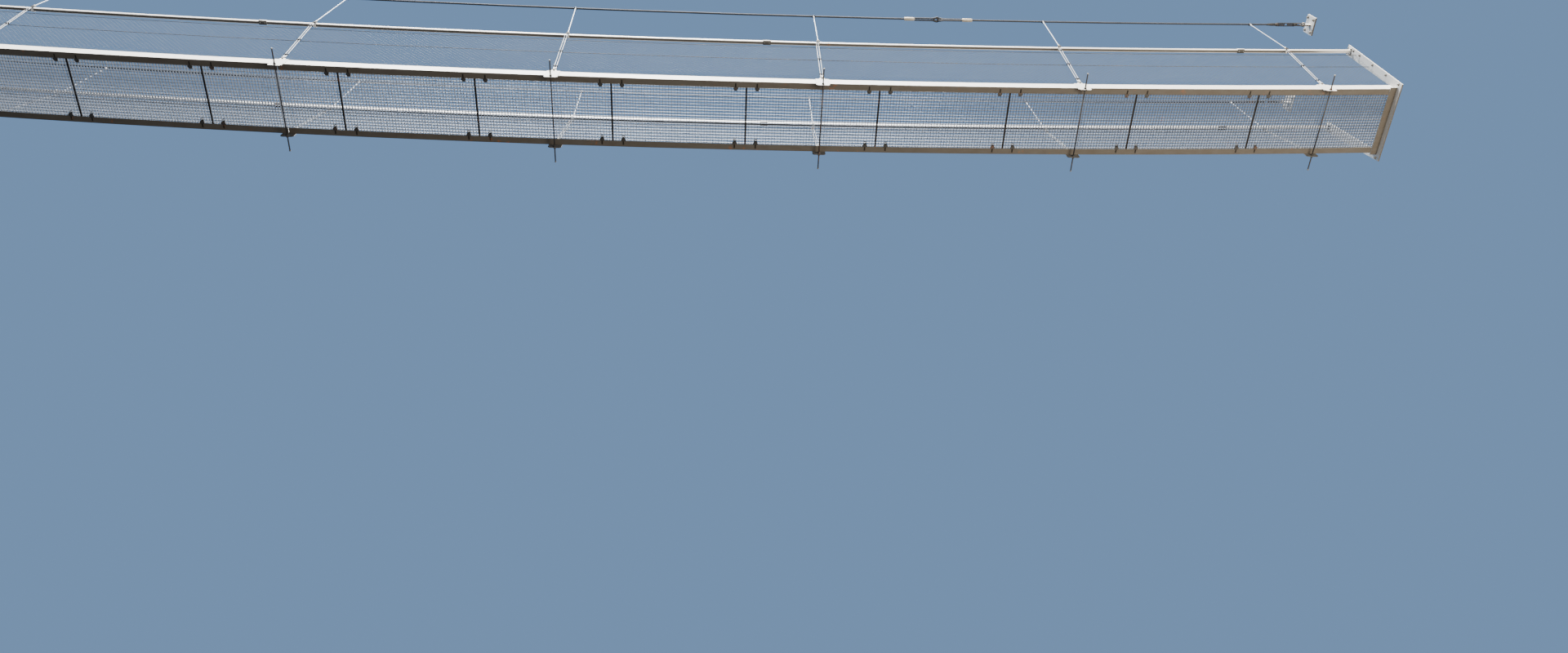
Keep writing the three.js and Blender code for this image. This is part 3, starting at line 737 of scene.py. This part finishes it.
def add_saddle(hanger):
    """A bright strap over the cable between two dark grips."""
    bottom = CABLE_Z - SADDLE_HALF
    grip, spread, bar, tail = 0.0125, 0.0135, 0.003, 0.007
    high = (bottom, CABLE_Z - CABLE_RADIUS + 0.002)
    hanger.add("clamp_steel", block(about(0, SADDLE_HALF), about(CABLE_Y, SADDLE_SIDE), high, 0.002))
    hanger.add("thimble_zinc", collar(0, CABLE_Y, CABLE_Z, CABLE_RADIUS, outer=0.0155, half=0.0065))
    for x in about(0, grip):
        hanger.add("clamp_steel", u_bolt(x, CABLE_Y, CABLE_Z, spread, bar, SADDLE_HALF + tail))
        for y in about(CABLE_Y, spread):
            hanger.add("clamp_steel", hexagon((x, y, bottom), DOWN, high=0.005, across=0.0055))


def make_hangers(sizes):
    finishes = ("hanger_rope", "leg_shaded_rope", "thimble_zinc", "bolt_zinc", "clip_steel", "clamp_steel",
                "ferrule_aluminium")
    legs = rope(leg_path(), ROPE_RADIUS, sizes.lay, ACROSS)
    for label, side in SIDES:
        for number, x in enumerate(STATIONS, 1):
            hanger = Piece(*finishes, side=side, place=level_with(x, x))
            shift = SADDLE_SHIFTS[label][number - 1]
            hanger.add("leg_shaded_rope", legs)
            add_thimble(hanger)
            add_shackle(hanger)
            for z in CLIP_HEIGHTS:
                add_rope_clip(hanger, z)
            add_rail_clamp(hanger)
            add_upper_rope(hanger, shift, float(deck_line(x + shift) - deck_line(x)), sizes.lay)
            hanger.place = level_with(x + shift, x + shift)
            add_saddle(hanger)
            hanger.build(f"hanger_rope_{label}_{number}", "hanger_rope", f"hanger_{label}_{number}")


# Handrails


def make_rails():
    """Tubes joined by sleeves and welded to a flange at each end."""
    screw, corner, bolt = 0.03, 0.006, 0.033
    sleeve = chamfered(-SLEEVE_HALF, SLEEVE_HALF, SLEEVE_RADIUS, edge=0.003, drop=0.003)
    weld = [(0, RAIL_RADIUS + 0.0055), (0.0025, RAIL_RADIUS + 0.005), (0.0055, RAIL_RADIUS + 0.0005)]
    flange = rectangle(about(RAIL_Y, RAIL_FLANGE), about(RAIL_Z, RAIL_FLANGE), corner)
    for label, side in SIDES:
        rail = Piece("rail_zinc", "sleeve_zinc", "plate_zinc", "bolt_zinc", side=side)
        rail.add("rail_zinc", swept((RAIL_Y, RAIL_Z) + circle(RAIL_RADIUS, 28), -FACE, FACE, smooth=True))
        for middle in SLEEVES:
            rail.add("sleeve_zinc", turned(sleeve, (middle, RAIL_Y, RAIL_Z), ALONG, 28))
            for x in about(middle, screw):
                foot = (x, RAIL_Y, RAIL_Z - SLEEVE_RADIUS + 0.0005)
                rail.add("bolt_zinc", hexagon(foot, DOWN, high=0.005, across=0.006))
        for _, way in ENDS:
            face, inwards = way * (FACE - RAIL_FLANGE_THICK), (-way, 0, 0)
            rail.add("plate_zinc", plate(flange, face, way * FACE, 0))
            rail.add("rail_zinc", turned(weld, (face, RAIL_Y, RAIL_Z), inwards, 28))
            for y in about(RAIL_Y, bolt):
                for z in about(RAIL_Z, bolt):
                    rail.bolted((face, y, z), inwards, 0.01)
        rail.build(f"tube_rail_{label}", "rail_zinc", f"handrail_{label}")


# Main cables


def add_cable_end(cable, way, sizes):
    """A socket and an open tensioner with its two threaded rods."""
    out = (way, 0, 0)
    fork = ANCHOR_PIN - FORK_LENGTH
    body = fork - TENSIONER
    ring, rod, rod_radius, nut = 0.04, 0.14, 0.0105, 0.014
    arm_inner, arm_outer, arm_half = 0.0135, 0.0245, 0.0095
    at = lambda x: (way * x, CABLE_Y, CABLE_Z)
    cone = [(0, 0.0125), (0.004, 0.0145), (0.07, 0.0195), (0.118, 0.0195), (SOCKET, 0.014)]
    cable.add("clamp_steel", turned(cone, at(body - SOCKET), out, 24))
    for start in (body - 0.004, fork - 0.13):
        cable.add("rod_steel", threaded(at(start), out, rod, rod_radius, sizes.thread))
    boss = chamfered(0, ring, 0.0225, edge=0.004, drop=0.0045)
    for start in (body, fork - ring):
        cable.add("clamp_steel", turned(boss, at(start), out, 24))
    arm = (way * (body + ring / 2), way * (fork - ring / 2))
    for edge in (-1, 1):
        wide = (CABLE_Y + edge * arm_inner, CABLE_Y + edge * arm_outer)
        cable.add("clamp_steel", block(arm, wide, about(CABLE_Z, arm_half), 0.003))
    cable.add("bolt_zinc", hexagon(at(body - nut), out, nut, across=0.0185))


def add_fork(cable, way):
    """A fork whose cheeks are round at the pin, level with the anchor's lug."""
    heel, reach = ANCHOR_PIN - FORK_LENGTH, FORK_CHEEK + FORK_WALL
    nose = [(x, z) for x, _, z in arc((ANCHOR_PIN, 0, 0), 0.028, math.pi / 2, -math.pi / 2, 13, (0, 2))]
    tail = [(heel + 0.012, -0.024), (heel, -0.016), (heel, 0.016), (heel + 0.012, 0.024)]
    outline = [(way * x, CABLE_Z + z) for x, z in nose + tail]
    for edge in (-1, 1):
        inner, outer = CABLE_Y + edge * FORK_CHEEK, CABLE_Y + edge * reach
        cable.add("clamp_steel", plate(outline, inner, outer, 1, 0.0015))
        washer = disc((way * ANCHOR_PIN, outer, CABLE_Z), (0, edge, 0), high=0.003, radius=0.019, sides=24)
        cable.add("bolt_zinc", washer)
    bridge = (way * (heel - 0.01), way * (heel + 0.022))
    cable.add("clamp_steel", block(bridge, about(CABLE_Y, FORK_CHEEK + 0.002), about(CABLE_Z, 0.02), 0.003))
    pin = chamfered(-reach - 0.01, reach + 0.01, 0.014, edge=0.002, drop=0.0015)
    cable.add("bolt_zinc", turned(pin, (way * ANCHOR_PIN, CABLE_Y, CABLE_Z), ACROSS, 24))


def eye_bend(way, radius, turn=1.9):
    """Places along and across the cable round a rope eye, a turn from its middle to each side."""
    centre = SPLICE_X + way * EYE_CENTRE
    angles = np.linspace(-turn, turn, 25)
    return [(centre - way * radius * math.cos(angle), radius * math.sin(angle)) for angle in angles]


def add_eye(cable, way, tilt, sizes):
    """A rope eye round a thimble, its plane turned about the cable by a tilt from upright."""
    sine, cosine = math.sin(tilt), math.cos(tilt)
    up = (0, way * cosine, -way * sine)
    lying = lambda points: [(x, CABLE_Y + across * sine, CABLE_Z + across * cosine) for x, across in points]
    ferrule = SPLICE_X + way * (FERRULE_REACH - FERRULE_HALF)
    waist = SPLICE_X + way * EYE_WAIST
    back = [(ferrule, -EYE_SPREAD), (waist, -EYE_SPREAD)]
    out = [(waist, EYE_SPREAD), (ferrule, EYE_SPREAD)]
    path = lying([*back, *eye_bend(way, EYE_BEND), *out])
    cable.add("cable_rope", rope(path, EYE_ROPE, sizes.lay, up))
    tip = (SPLICE_X + way * (EYE_CENTRE + 0.05), 0.0)
    *heart, tip = lying([*eye_bend(way, EYE_BEND - EYE_ROPE), tip])
    cable.add("clamp_steel", thimble(heart, tip, up, half=0.011, lip=0.006, wall=0.003, step=0.004))


def add_splice(cable, sizes):
    """Two pressed ferrules, each with an eye, and the eyes linked through each other."""
    end = 2 * FERRULE_HALF
    half = [(0, 0.0165), (0.006, 0.0205), (0.018, FERRULE_RADIUS)]
    middle = (FERRULE_HALF, FERRULE_RADIUS + 0.0006)
    pressed = [*half, middle, *((end - place, radius) for place, radius in reversed(half))]
    for way, tilt in ((-1, math.pi / 2), (1, EYE_TILT)):
        add_eye(cable, way, tilt, sizes)
        start = SPLICE_X + way * FERRULE_REACH - FERRULE_HALF
        cable.add("ferrule_aluminium", turned(pressed, (start, CABLE_Y, CABLE_Z), ALONG, 28))


def make_cables(sizes):
    rope_end = ANCHOR_PIN - FORK_LENGTH - TENSIONER - SOCKET + 0.02
    splice_end = FERRULE_REACH - FERRULE_HALF
    for label, side in SIDES:
        cable = Piece("cable_rope", "clamp_steel", "rod_steel", "bolt_zinc", "ferrule_aluminium", side=side)
        runs = [(-rope_end, rope_end)]
        if label == "near":
            runs = [(-rope_end, SPLICE_X - splice_end), (SPLICE_X + splice_end, rope_end)]
            add_splice(cable, sizes)
        for start, end in runs:
            path = [(start, CABLE_Y, CABLE_Z), (end, CABLE_Y, CABLE_Z)]
            cable.add("cable_rope", rope(path, CABLE_STRANDS, sizes.lay, UP, points_per_strand=3))
        for _, way in ENDS:
            cable.place = follow
            add_cable_end(cable, way, sizes)
            cable.place = level_with(ANCHOR_PIN)
            add_fork(cable, way)
        cable.build(f"main_rope_{label}", "cable_rope", f"main_cable_{label}")


# Netting


def woven(start, end, sizes):
    """Upright wires bent to and fro, each hooked into its neighbours at the corners of the meshes."""
    half, radius = sizes.net_diagonal / 2, sizes.net_wire / 2
    wires = int((end - start) / half)
    levels = int((NET_TOP - NET_FOOT) / half) + 1
    spare = (end - start) - half * wires
    lefts = start + half * np.arange(wires) + spare / 2
    heights = NET_FOOT + half * np.arange(levels)
    swing = (np.arange(levels)[None] + np.arange(wires)[:, None]) % 2
    xs = lefts[:, None] + half * swing
    ys = net_y(heights)[None] + radius * (2 * swing - 1)
    # The wires run at 45 degrees, so a level cut through one is wider along the bridge
    triangle = circle(radius, 3) * (math.sqrt(2), 1.0)
    parts = xs[..., None] + triangle[:, 0], ys[..., None] + triangle[:, 1], heights[None, :, None]
    points = np.stack(np.broadcast_arrays(*parts), axis=-1)
    index = np.arange(wires * levels * 3).reshape(wires, levels, 3)
    here, above = index[:, :-1], index[:, 1:]
    quads = np.stack([here, np.roll(here, -1, 2), np.roll(above, -1, 2), above], axis=-1)
    faces = quads.reshape(-1, 4).tolist()
    caps = index[:, 0, ::-1].tolist() + index[:, -1].tolist()
    return points.reshape(-1, 3), faces + caps, [True] * len(faces) + [False] * len(caps)


def make_netting(sizes):
    for label, side in SIDES:
        for number, start, end in stretches(NET_CUTS, NET_JOINT):
            net = Piece("net_wire", "edge_wire", side=side)
            net.add("net_wire", woven(start, end, sizes))
            for z in (NET_FOOT, MIDDLE_WIRE, NET_TOP - EDGE_WIRE):
                y = float(net_y(z))
                net.add("edge_wire", swept((y, z) + circle(EDGE_WIRE, 8), start, end, smooth=True))
                for x in np.arange(start + sizes.tie_pitch / 2, end, sizes.tie_pitch):
                    tie = collar(x, y, z, 0.9 * EDGE_WIRE, 1.4 * EDGE_WIRE, half=0.006, sides=8, bevel=0.0005)
                    net.add("net_wire", tie)
            net.build(f"wire_netting_{label}_{number}", "net_wire", f"netting_{label}_{number}")


# Ends


def dress(node, finish):
    """A finish and softened edges on a solid that keeps its own shape."""
    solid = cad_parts[node]
    solid.data.materials.clear()
    solid.data.materials.append(finish_of(finish))
    edges = solid.modifiers.new("softened_edges", "BEVEL")
    edges.width = 0.0015
    edges.segments = 2
    edges.limit_method = "ANGLE"


def make_ends():
    """Finishes on the end frames and anchors, and the bolts that hold them."""
    splay = (FRAME_HEAD - FRAME_FOOT) / (FRAME_TOP - FRAME_BOTTOM)
    frame_bolt, anchor_bolt = 0.016, 0.02
    for end, way in ENDS:
        bolts = Piece("bolt_zinc")
        for label, side in SIDES:
            bolts.side, bolts.place = side, level_with(END)
            for z in FRAME_BOLTS:
                y = FRAME_FOOT + splay * (z - FRAME_BOTTOM) - FRAME_BOLT_INSET
                bolts.bolted((way * FACE, y, z), (-way, 0, 0), frame_bolt)
            bolts.place = level_with(ANCHOR_PIN)
            for y in about(CABLE_Y, ANCHOR_BOLT):
                for z in about(CABLE_Z, ANCHOR_BOLT):
                    bolts.bolted((way * (END - ANCHOR_THICK), y, z), (-way, 0, 0), anchor_bolt)
            dress(f"cable_anchor_{label}_{end}", "plate_zinc")
        bolts.build(f"anchor_bolts_{end}", "plate_zinc")
        dress(f"end_frame_{end}", "plate_zinc")


# Finishes


class Value:
    """A socket that can be added, multiplied or taken from a number."""

    def __init__(self, finish, socket):
        self.finish, self.socket = finish, socket

    def maths(self, operation, first, second):
        return self.finish.node("Math", {"operation": operation}, {0: first, 1: second})

    def __add__(self, other):
        return self.maths("ADD", self, other)

    __radd__ = __add__

    def __rsub__(self, other):
        return self.maths("SUBTRACT", other, self)

    def __mul__(self, other):
        return self.maths("MULTIPLY", self, other)

    __rmul__ = __mul__

    def above(self, level, width):
        """0 below a level, rising to 1 over a width."""
        sockets = {"Value": self, "From Min": level, "From Max": level + width}
        return self.finish.node("MapRange", {"clamp": True}, sockets)


class Finish:
    """The nodes of one material."""

    def __init__(self, name):
        self.material = bpy.data.materials.new(name)
        self.material.use_nodes = True
        self.tree = self.material.node_tree
        self.surface = self.tree.nodes["Principled BSDF"]

    def node(self, kind, settings=None, sockets=None, output=0):
        """Adds a node: its settings first, then its sockets' values and links."""
        made = self.tree.nodes.new("ShaderNode" + kind)
        for name, value in (settings or {}).items():
            setattr(made, name, value)
        for name, value in (sockets or {}).items():
            self.plug(made.inputs[name], value)
        return Value(self, made.outputs[output])

    def plug(self, socket, value):
        if isinstance(value, Value):
            self.tree.links.new(value.socket, socket)
        elif socket.type == "RGBA":
            socket.default_value = (*value, 1.0)
        else:
            socket.default_value = value

    def set(self, **values):
        """Values and links of the shader's sockets, their spaces written as underscores."""
        for name, value in values.items():
            self.plug(self.surface.inputs[name.replace("_", " ")], value)
        return self.material

    def place(self, stretch):
        """Places in the object, stretched along its axes."""
        coordinates = self.node("TexCoord", output="Object")
        return self.node("VectorMath", {"operation": "MULTIPLY"}, {0: coordinates, 1: stretch})

    def noise(self, scale, detail=3.0, stretch=(1.0, 1.0, 1.0), roughness=0.55):
        sockets = {"Vector": self.place(stretch), "Scale": scale, "Detail": detail, "Roughness": roughness}
        return self.node("TexNoise", None, sockets)

    def crystals(self, scale):
        """A shade for each crystal of the zinc."""
        sockets = {"Vector": self.place((1, 1, 1)), "Scale": scale}
        return self.node("SeparateColor", None, {0: self.node("TexVoronoi", None, sockets, output="Color")})

    def mix(self, share, first, second):
        return self.node("Mix", {"data_type": "RGBA"}, {0: share, 6: first, 7: second}, output=2)

    def underside(self, level=0.1, width=0.5):
        """1 on faces that look down, 0 on those that look up or sideways."""
        normal = self.node("NewGeometry", output="Normal")
        return (0.0 - self.node("SeparateXYZ", None, {0: normal}, output="Z")).above(level, width)

    def bump(self, height, strength, distance):
        return self.node("Bump", None, {"Height": height, "Strength": strength, "Distance": distance})


def shade(colour, share):
    return tuple(min(1.0, share * part) for part in colour)


def zinc(name, colour, grime_and_shade, rust, spangle=55.0, darkening_below=0.98, shine=0.42, low=0.1):
    """Weathered galvanising: crystals, dull clouds, a little rust, and brown grime with painted shade on
    faces that slope down past low.
    """
    finish = Finish(name)
    crystals = finish.crystals(spangle)
    clouds = finish.noise(2.2, 6.0)
    fine = finish.noise(38.0, 4.0)
    mottle = finish.noise(21.0, 5.0, stretch=(0.4, 1.0, 1.0))
    streaks = finish.noise(9.0, 3.0, stretch=(1.0, 1.0, 0.12)).above(0.55, 0.25)
    # Faces looking down take the grime colour: real dirt, and painted shade for the light they lack
    under = finish.underside(low, 0.25)
    dirt_and_shade = under * (0.94 + 0.06 * mottle) * darkening_below
    body = finish.mix(crystals * 0.2 + clouds.above(0.35, 0.4) * 0.3, colour, shade(colour, 0.78))
    body = finish.mix(dirt_and_shade, body, finish.mix(mottle.above(0.3, 0.4), grime_and_shade, shade(grime_and_shade, 1.5)))
    body = finish.mix(streaks * fine.above(0.4, 0.3) * 0.25, body, grime_and_shade)
    spots = finish.noise(7.0, 8.0, roughness=0.7).above(0.62, 0.08) * (0.12 + 0.6 * under)
    body = finish.mix(spots, body, rust)
    rough = shine + 0.16 * clouds + 0.28 * dirt_and_shade + 0.05 * crystals
    normal = finish.bump(fine + 0.4 * crystals, 0.25, 0.0006)
    return finish.set(Base_Color=body, Roughness=rough, Metallic=0.3 * (1.0 - dirt_and_shade), Normal=normal,
                      Specular_IOR_Level=0.06)


def strand_steel(name, colour, soil_and_shade, shine, metal, under=0.5):
    """Drawn wires in a rope, with dirt held between them, and a share of the underside darkened by dirt and
    painted shade.
    """
    finish = Finish(name)
    lines = finish.noise(700.0, 2.0, stretch=(0.25, 1.0, 0.25))
    clouds = finish.noise(6.0, 5.0)
    body = finish.mix(clouds.above(0.42, 0.3) * 0.4, colour, soil_and_shade)
    body = finish.mix(lines.above(0.52, 0.2) * 0.3, body, soil_and_shade)
    # Darkens faces that look down by the share under: painted shade with some dirt
    body = finish.mix(finish.underside() * under, body, soil_and_shade)
    return finish.set(Base_Color=body, Roughness=shine + 0.2 * clouds, Metallic=metal,
                      Normal=finish.bump(lines, 0.5, 0.0008))


def dark_steel(name, colour, rust):
    """Dark fittings with worn and rusty patches."""
    finish = Finish(name)
    clouds = finish.noise(11.0, 6.0)
    fine = finish.noise(160.0, 3.0)
    body = finish.mix(fine.above(0.55, 0.25) * 0.4, colour, shade(colour, 2.4))
    body = finish.mix(clouds.above(0.55, 0.15) * 0.4, body, rust)
    return finish.set(Base_Color=body, Roughness=0.5 + 0.25 * clouds, Metallic=0.4,
                      Normal=finish.bump(fine, 0.35, 0.0005))


def aluminium(name, colour, soil_and_shade):
    """Pressed aluminium, dull and cream, with faint tool marks, and faces that look down darkened by dirt and
    painted shade.
    """
    finish = Finish(name)
    marks = finish.noise(60.0, 3.0, stretch=(0.15, 1.0, 1.0))
    clouds = finish.noise(14.0, 4.0)
    body = finish.mix(clouds.above(0.45, 0.3) * 0.35, colour, shade(colour, 0.8))
    body = finish.mix(marks.above(0.6, 0.2) * 0.2, body, soil_and_shade)
    # Faces looking down darken towards soil_and_shade: painted shade with some dirt
    body = finish.mix(finish.underside(0.5, 0.3) * 0.6, body, soil_and_shade)
    return finish.set(Base_Color=body, Roughness=0.38 + 0.2 * clouds, Metallic=0.35,
                      Normal=finish.bump(marks, 0.3, 0.0006))


def floor_paint(name):
    """Plain pale paint."""
    finish = Finish(name)
    body = finish.mix(finish.noise(0.35, 3.0), (0.17, 0.173, 0.176), (0.19, 0.193, 0.196))
    return finish.set(Base_Color=body, Roughness=0.9)


def finish_of(kind):
    """The material of a kind of finish, made when it is first asked for."""
    name = f"{kind}_finish"
    return bpy.data.materials.get(name) or make_finish(kind, name, bpy.context.scene.footbridge_colours)


def make_finish(kind, name, colours):
    beam, rail, steel, grating = colours.beam, colours.rail, colours.plate, colours.grating
    grime_and_shade, rust, clip = colours.grime_and_shade, colours.rust, colours.clip
    cable, hanger, net, edge = colours.cable, colours.hanger, colours.net, colours.edge
    makers = {
        "beam_zinc": lambda: zinc(name, beam, grime_and_shade, rust),
        # Rails and sleeves darken on their lower part as painted shade, the sleeves over most of their lower
        # half
        "rail_zinc": lambda: zinc(name, rail, grime_and_shade, rust, spangle=90.0, shine=0.34, low=0.66),
        "sleeve_zinc": lambda: zinc(name, rail, shade(grime_and_shade, 0.5), shade(rust, 0.5), spangle=90.0, low=0.25),
        "plate_zinc": lambda: zinc(name, steel, grime_and_shade, rust, spangle=70.0),
        # Crossbars are the grating's zinc made far darker: painted shade under the deck
        "crossbar_shaded_zinc": lambda: zinc(name, shade(grating, 0.16), shade(grime_and_shade, 0.4), rust),
        "grating_zinc": lambda: zinc(name, grating, shade(grime_and_shade, 0.4), rust, spangle=120.0),
        # A dark copy of the plate zinc, used as painted shade on the brackets' inner faces
        "painted_shade_zinc": lambda: zinc(name, shade(steel, 0.16), grime_and_shade, rust, spangle=70.0),
        # Straps are the plate zinc made dark: painted shade like the flanges' undersides
        "strap_shaded_zinc": lambda: zinc(name, shade(steel, 0.2), shade(grime_and_shade, 0.3), rust, spangle=120.0),
        "bolt_zinc": lambda: zinc(name, shade(steel, 0.6), shade(grime_and_shade, 0.6), rust, spangle=200.0, darkening_below=0.8),
        "thimble_zinc": lambda: zinc(name, rail, grime_and_shade, rust, spangle=200.0, darkening_below=0.3),
        "cap_zinc": lambda: zinc(name, shade(rail, 0.6), grime_and_shade, rust, spangle=150.0, darkening_below=0.8),
        "rod_steel": lambda: dark_steel(name, shade(clip, 1.2), rust),
        "clip_steel": lambda: dark_steel(name, clip, rust),
        "clamp_steel": lambda: dark_steel(name, clip, rust),
        # The main cable's underside is darkened almost wholly: painted shade with some dirt
        "cable_rope": lambda: strand_steel(name, cable, shade(cable, 0.25), 0.55, 0.1, 0.95),
        "hanger_rope": lambda: strand_steel(name, hanger, shade(hanger, 0.4), 0.35, 0.35),
        # The doubled legs are the hanger rope made dimmer: painted shade
        "leg_shaded_rope": lambda: strand_steel(name, shade(hanger, 0.6), shade(hanger, 0.2), 0.45, 0.35),
        "net_wire": lambda: strand_steel(name, net, (0.08, 0.082, 0.085), 0.5, 0.3),
        "edge_wire": lambda: strand_steel(name, edge, (0.03, 0.029, 0.027), 0.5, 0.4),
        "ferrule_aluminium": lambda: aluminium(name, colours.ferrule, grime_and_shade),
        "floor_paint": lambda: floor_paint(name),
    }
    return makers[kind]()


# Stage


def make_camera():
    right = Vector(ALONG)
    ahead = Vector((0, math.cos(CAMERA_CLIMB), math.sin(CAMERA_CLIMB)))
    turns = Matrix.Identity(3)
    for angle, axis in zip(CAMERA_TURNS, "XYZ"):
        turns = Matrix.Rotation(angle, 3, axis) @ turns
    rows = turns @ Matrix((right, right.cross(ahead), ahead))
    data = bpy.data.cameras.new("photograph_view")
    data.sensor_width = SENSOR
    data.lens = FOCAL_PIXELS / IMAGE_WIDTH * SENSOR
    data.clip_end = 200.0
    camera = put_in_scene("photograph_view", data)
    axes = Matrix((rows[0], rows[1], -rows[2])).transposed().to_4x4()
    camera.matrix_world = Matrix.Translation(Vector(CAMERA_AT) + Vector((END, 0, BASE))) @ axes
    bpy.context.scene.camera = camera


def add_light(name, kind, towards, place=(0, 0, 0), **settings):
    data = bpy.data.lights.new(name, kind)
    for setting, value in settings.items():
        setattr(data, setting, value)
    light = put_in_scene(name, data)
    light.location = place
    light.rotation_mode = "QUATERNION"
    light.rotation_quaternion = Vector(towards).to_track_quat("-Z", "Y")
    light.visible_camera = False


def make_stage():
    left, right = about(END, FLOOR_HALF)
    corners = [(left, -FLOOR_HALF), (right, -FLOOR_HALF), (right, FLOOR_HALF), (left, FLOOR_HALF)]
    mesh = bpy.data.meshes.new("studio_floor")
    mesh.from_pydata([(*corner, FLOOR_Z + BASE) for corner in corners], [], [(0, 1, 2, 3)])
    mesh.materials.append(finish_of("floor_paint"))
    floor = put_in_scene("studio_floor", mesh)
    world = bpy.data.worlds.new("studio")
    world.use_nodes = True
    background = world.node_tree.nodes["Background"]
    background.inputs["Color"].default_value = (*SKY, 1.0)
    background.inputs["Strength"].default_value = 1.0
    bpy.context.scene.world = world
    add_light("key", "SUN", towards=(0.10, 0.94, -0.31), energy=14.5, color=(1.0, 0.98, 0.95),
              angle=math.radians(7))
    add_light("fill", "SUN", towards=(-0.4, -0.5, -0.5), energy=0.8, color=(0.92, 0.96, 1.0),
              angle=math.radians(30))
    add_light("overhead", "AREA", towards=(0.0, 0.43, -0.9), energy=2400.0, color=(0.88, 0.94, 1.0),
              place=(END, -4.2, 8.0), shape="RECTANGLE", size=12.0, size_y=0.5)
    add_light("warm_fill", "AREA", towards=(-0.35, 0.25, 0.9), energy=2700.0, color=(1.0, 0.88, 0.70),
              place=(20.5, -2.5, -8.0), shape="DISK", size=6.0)


# Operators


class AddStage(bpy.types.Operator):
    """Adds the camera, floor and studio light"""

    bl_idname = "footbridge.stage"
    bl_label = "Stage"

    def execute(self, context):
        make_camera()
        make_stage()
        return {"FINISHED"}


class AddBeams(bpy.types.Operator):
    """Adds the rolled edge beams"""

    bl_idname = "footbridge.beams"
    bl_label = "Edge beams"

    def execute(self, context):
        make_beams()
        return {"FINISHED"}


class AddDeck(bpy.types.Operator):
    """Adds the grating panels and crossbars"""

    bl_idname = "footbridge.deck"
    bl_label = "Grating"

    def execute(self, context):
        make_deck(context.scene.footbridge_sizes)
        return {"FINISHED"}


class AddClips(bpy.types.Operator):
    """Adds the clips that hold the grating to the beams"""

    bl_idname = "footbridge.clips"
    bl_label = "Grating clips"

    def execute(self, context):
        make_clips()
        return {"FINISHED"}


class AddBrackets(bpy.types.Operator):
    """Adds the bracket plates and cross rods"""

    bl_idname = "footbridge.brackets"
    bl_label = "Brackets and rods"

    def execute(self, context):
        make_brackets(context.scene.footbridge_sizes)
        return {"FINISHED"}


class AddHangers(bpy.types.Operator):
    """Adds the hangers with their shackles, thimbles, clips and clamps"""

    bl_idname = "footbridge.hangers"
    bl_label = "Hangers"

    def execute(self, context):
        make_hangers(context.scene.footbridge_sizes)
        return {"FINISHED"}


class AddRails(bpy.types.Operator):
    """Adds the tube handrails"""

    bl_idname = "footbridge.rails"
    bl_label = "Handrails"

    def execute(self, context):
        make_rails()
        return {"FINISHED"}


class AddCables(bpy.types.Operator):
    """Adds the main cables with their end fittings and splice"""

    bl_idname = "footbridge.cables"
    bl_label = "Main cables"

    def execute(self, context):
        make_cables(context.scene.footbridge_sizes)
        return {"FINISHED"}


class AddNetting(bpy.types.Operator):
    """Adds the woven netting on its edge wires"""

    bl_idname = "footbridge.netting"
    bl_label = "Netting"

    def execute(self, context):
        make_netting(context.scene.footbridge_sizes)
        return {"FINISHED"}


class AddEnds(bpy.types.Operator):
    """Finishes the end frames and anchors and adds their bolts"""

    bl_idname = "footbridge.ends"
    bl_label = "Ends"

    def execute(self, context):
        make_ends()
        return {"FINISHED"}


OPERATORS = (AddStage, AddBeams, AddDeck, AddClips, AddBrackets, AddHangers, AddRails, AddCables, AddNetting,
             AddEnds)


class FootbridgePanel(bpy.types.Panel):
    """Sizes, colours and pieces of the footbridge"""

    bl_idname = "VIEW3D_PT_footbridge"
    bl_label = "Footbridge"
    bl_space_type = "VIEW_3D"
    bl_region_type = "UI"
    bl_category = "Footbridge"

    def draw(self, context):
        for group in (context.scene.footbridge_sizes, context.scene.footbridge_colours):
            for name in group.__annotations__:
                self.layout.prop(group, name)
        for operator in OPERATORS:
            self.layout.operator(operator.bl_idname)


CLASSES = (FootbridgeSizes, FootbridgeColours, *OPERATORS, FootbridgePanel)


def register():
    for made in CLASSES:
        bpy.utils.register_class(made)
    bpy.types.Scene.footbridge_sizes = bpy.props.PointerProperty(type=FootbridgeSizes)
    bpy.types.Scene.footbridge_colours = bpy.props.PointerProperty(type=FootbridgeColours)


def unregister():
    del bpy.types.Scene.footbridge_colours
    del bpy.types.Scene.footbridge_sizes
    for made in reversed(CLASSES):
        bpy.utils.unregister_class(made)


def main():
    register()
    for operator in OPERATORS:
        group, name = operator.bl_idname.split(".")
        getattr(getattr(bpy.ops, group), name)()


if __name__ == "__main__":
    main()
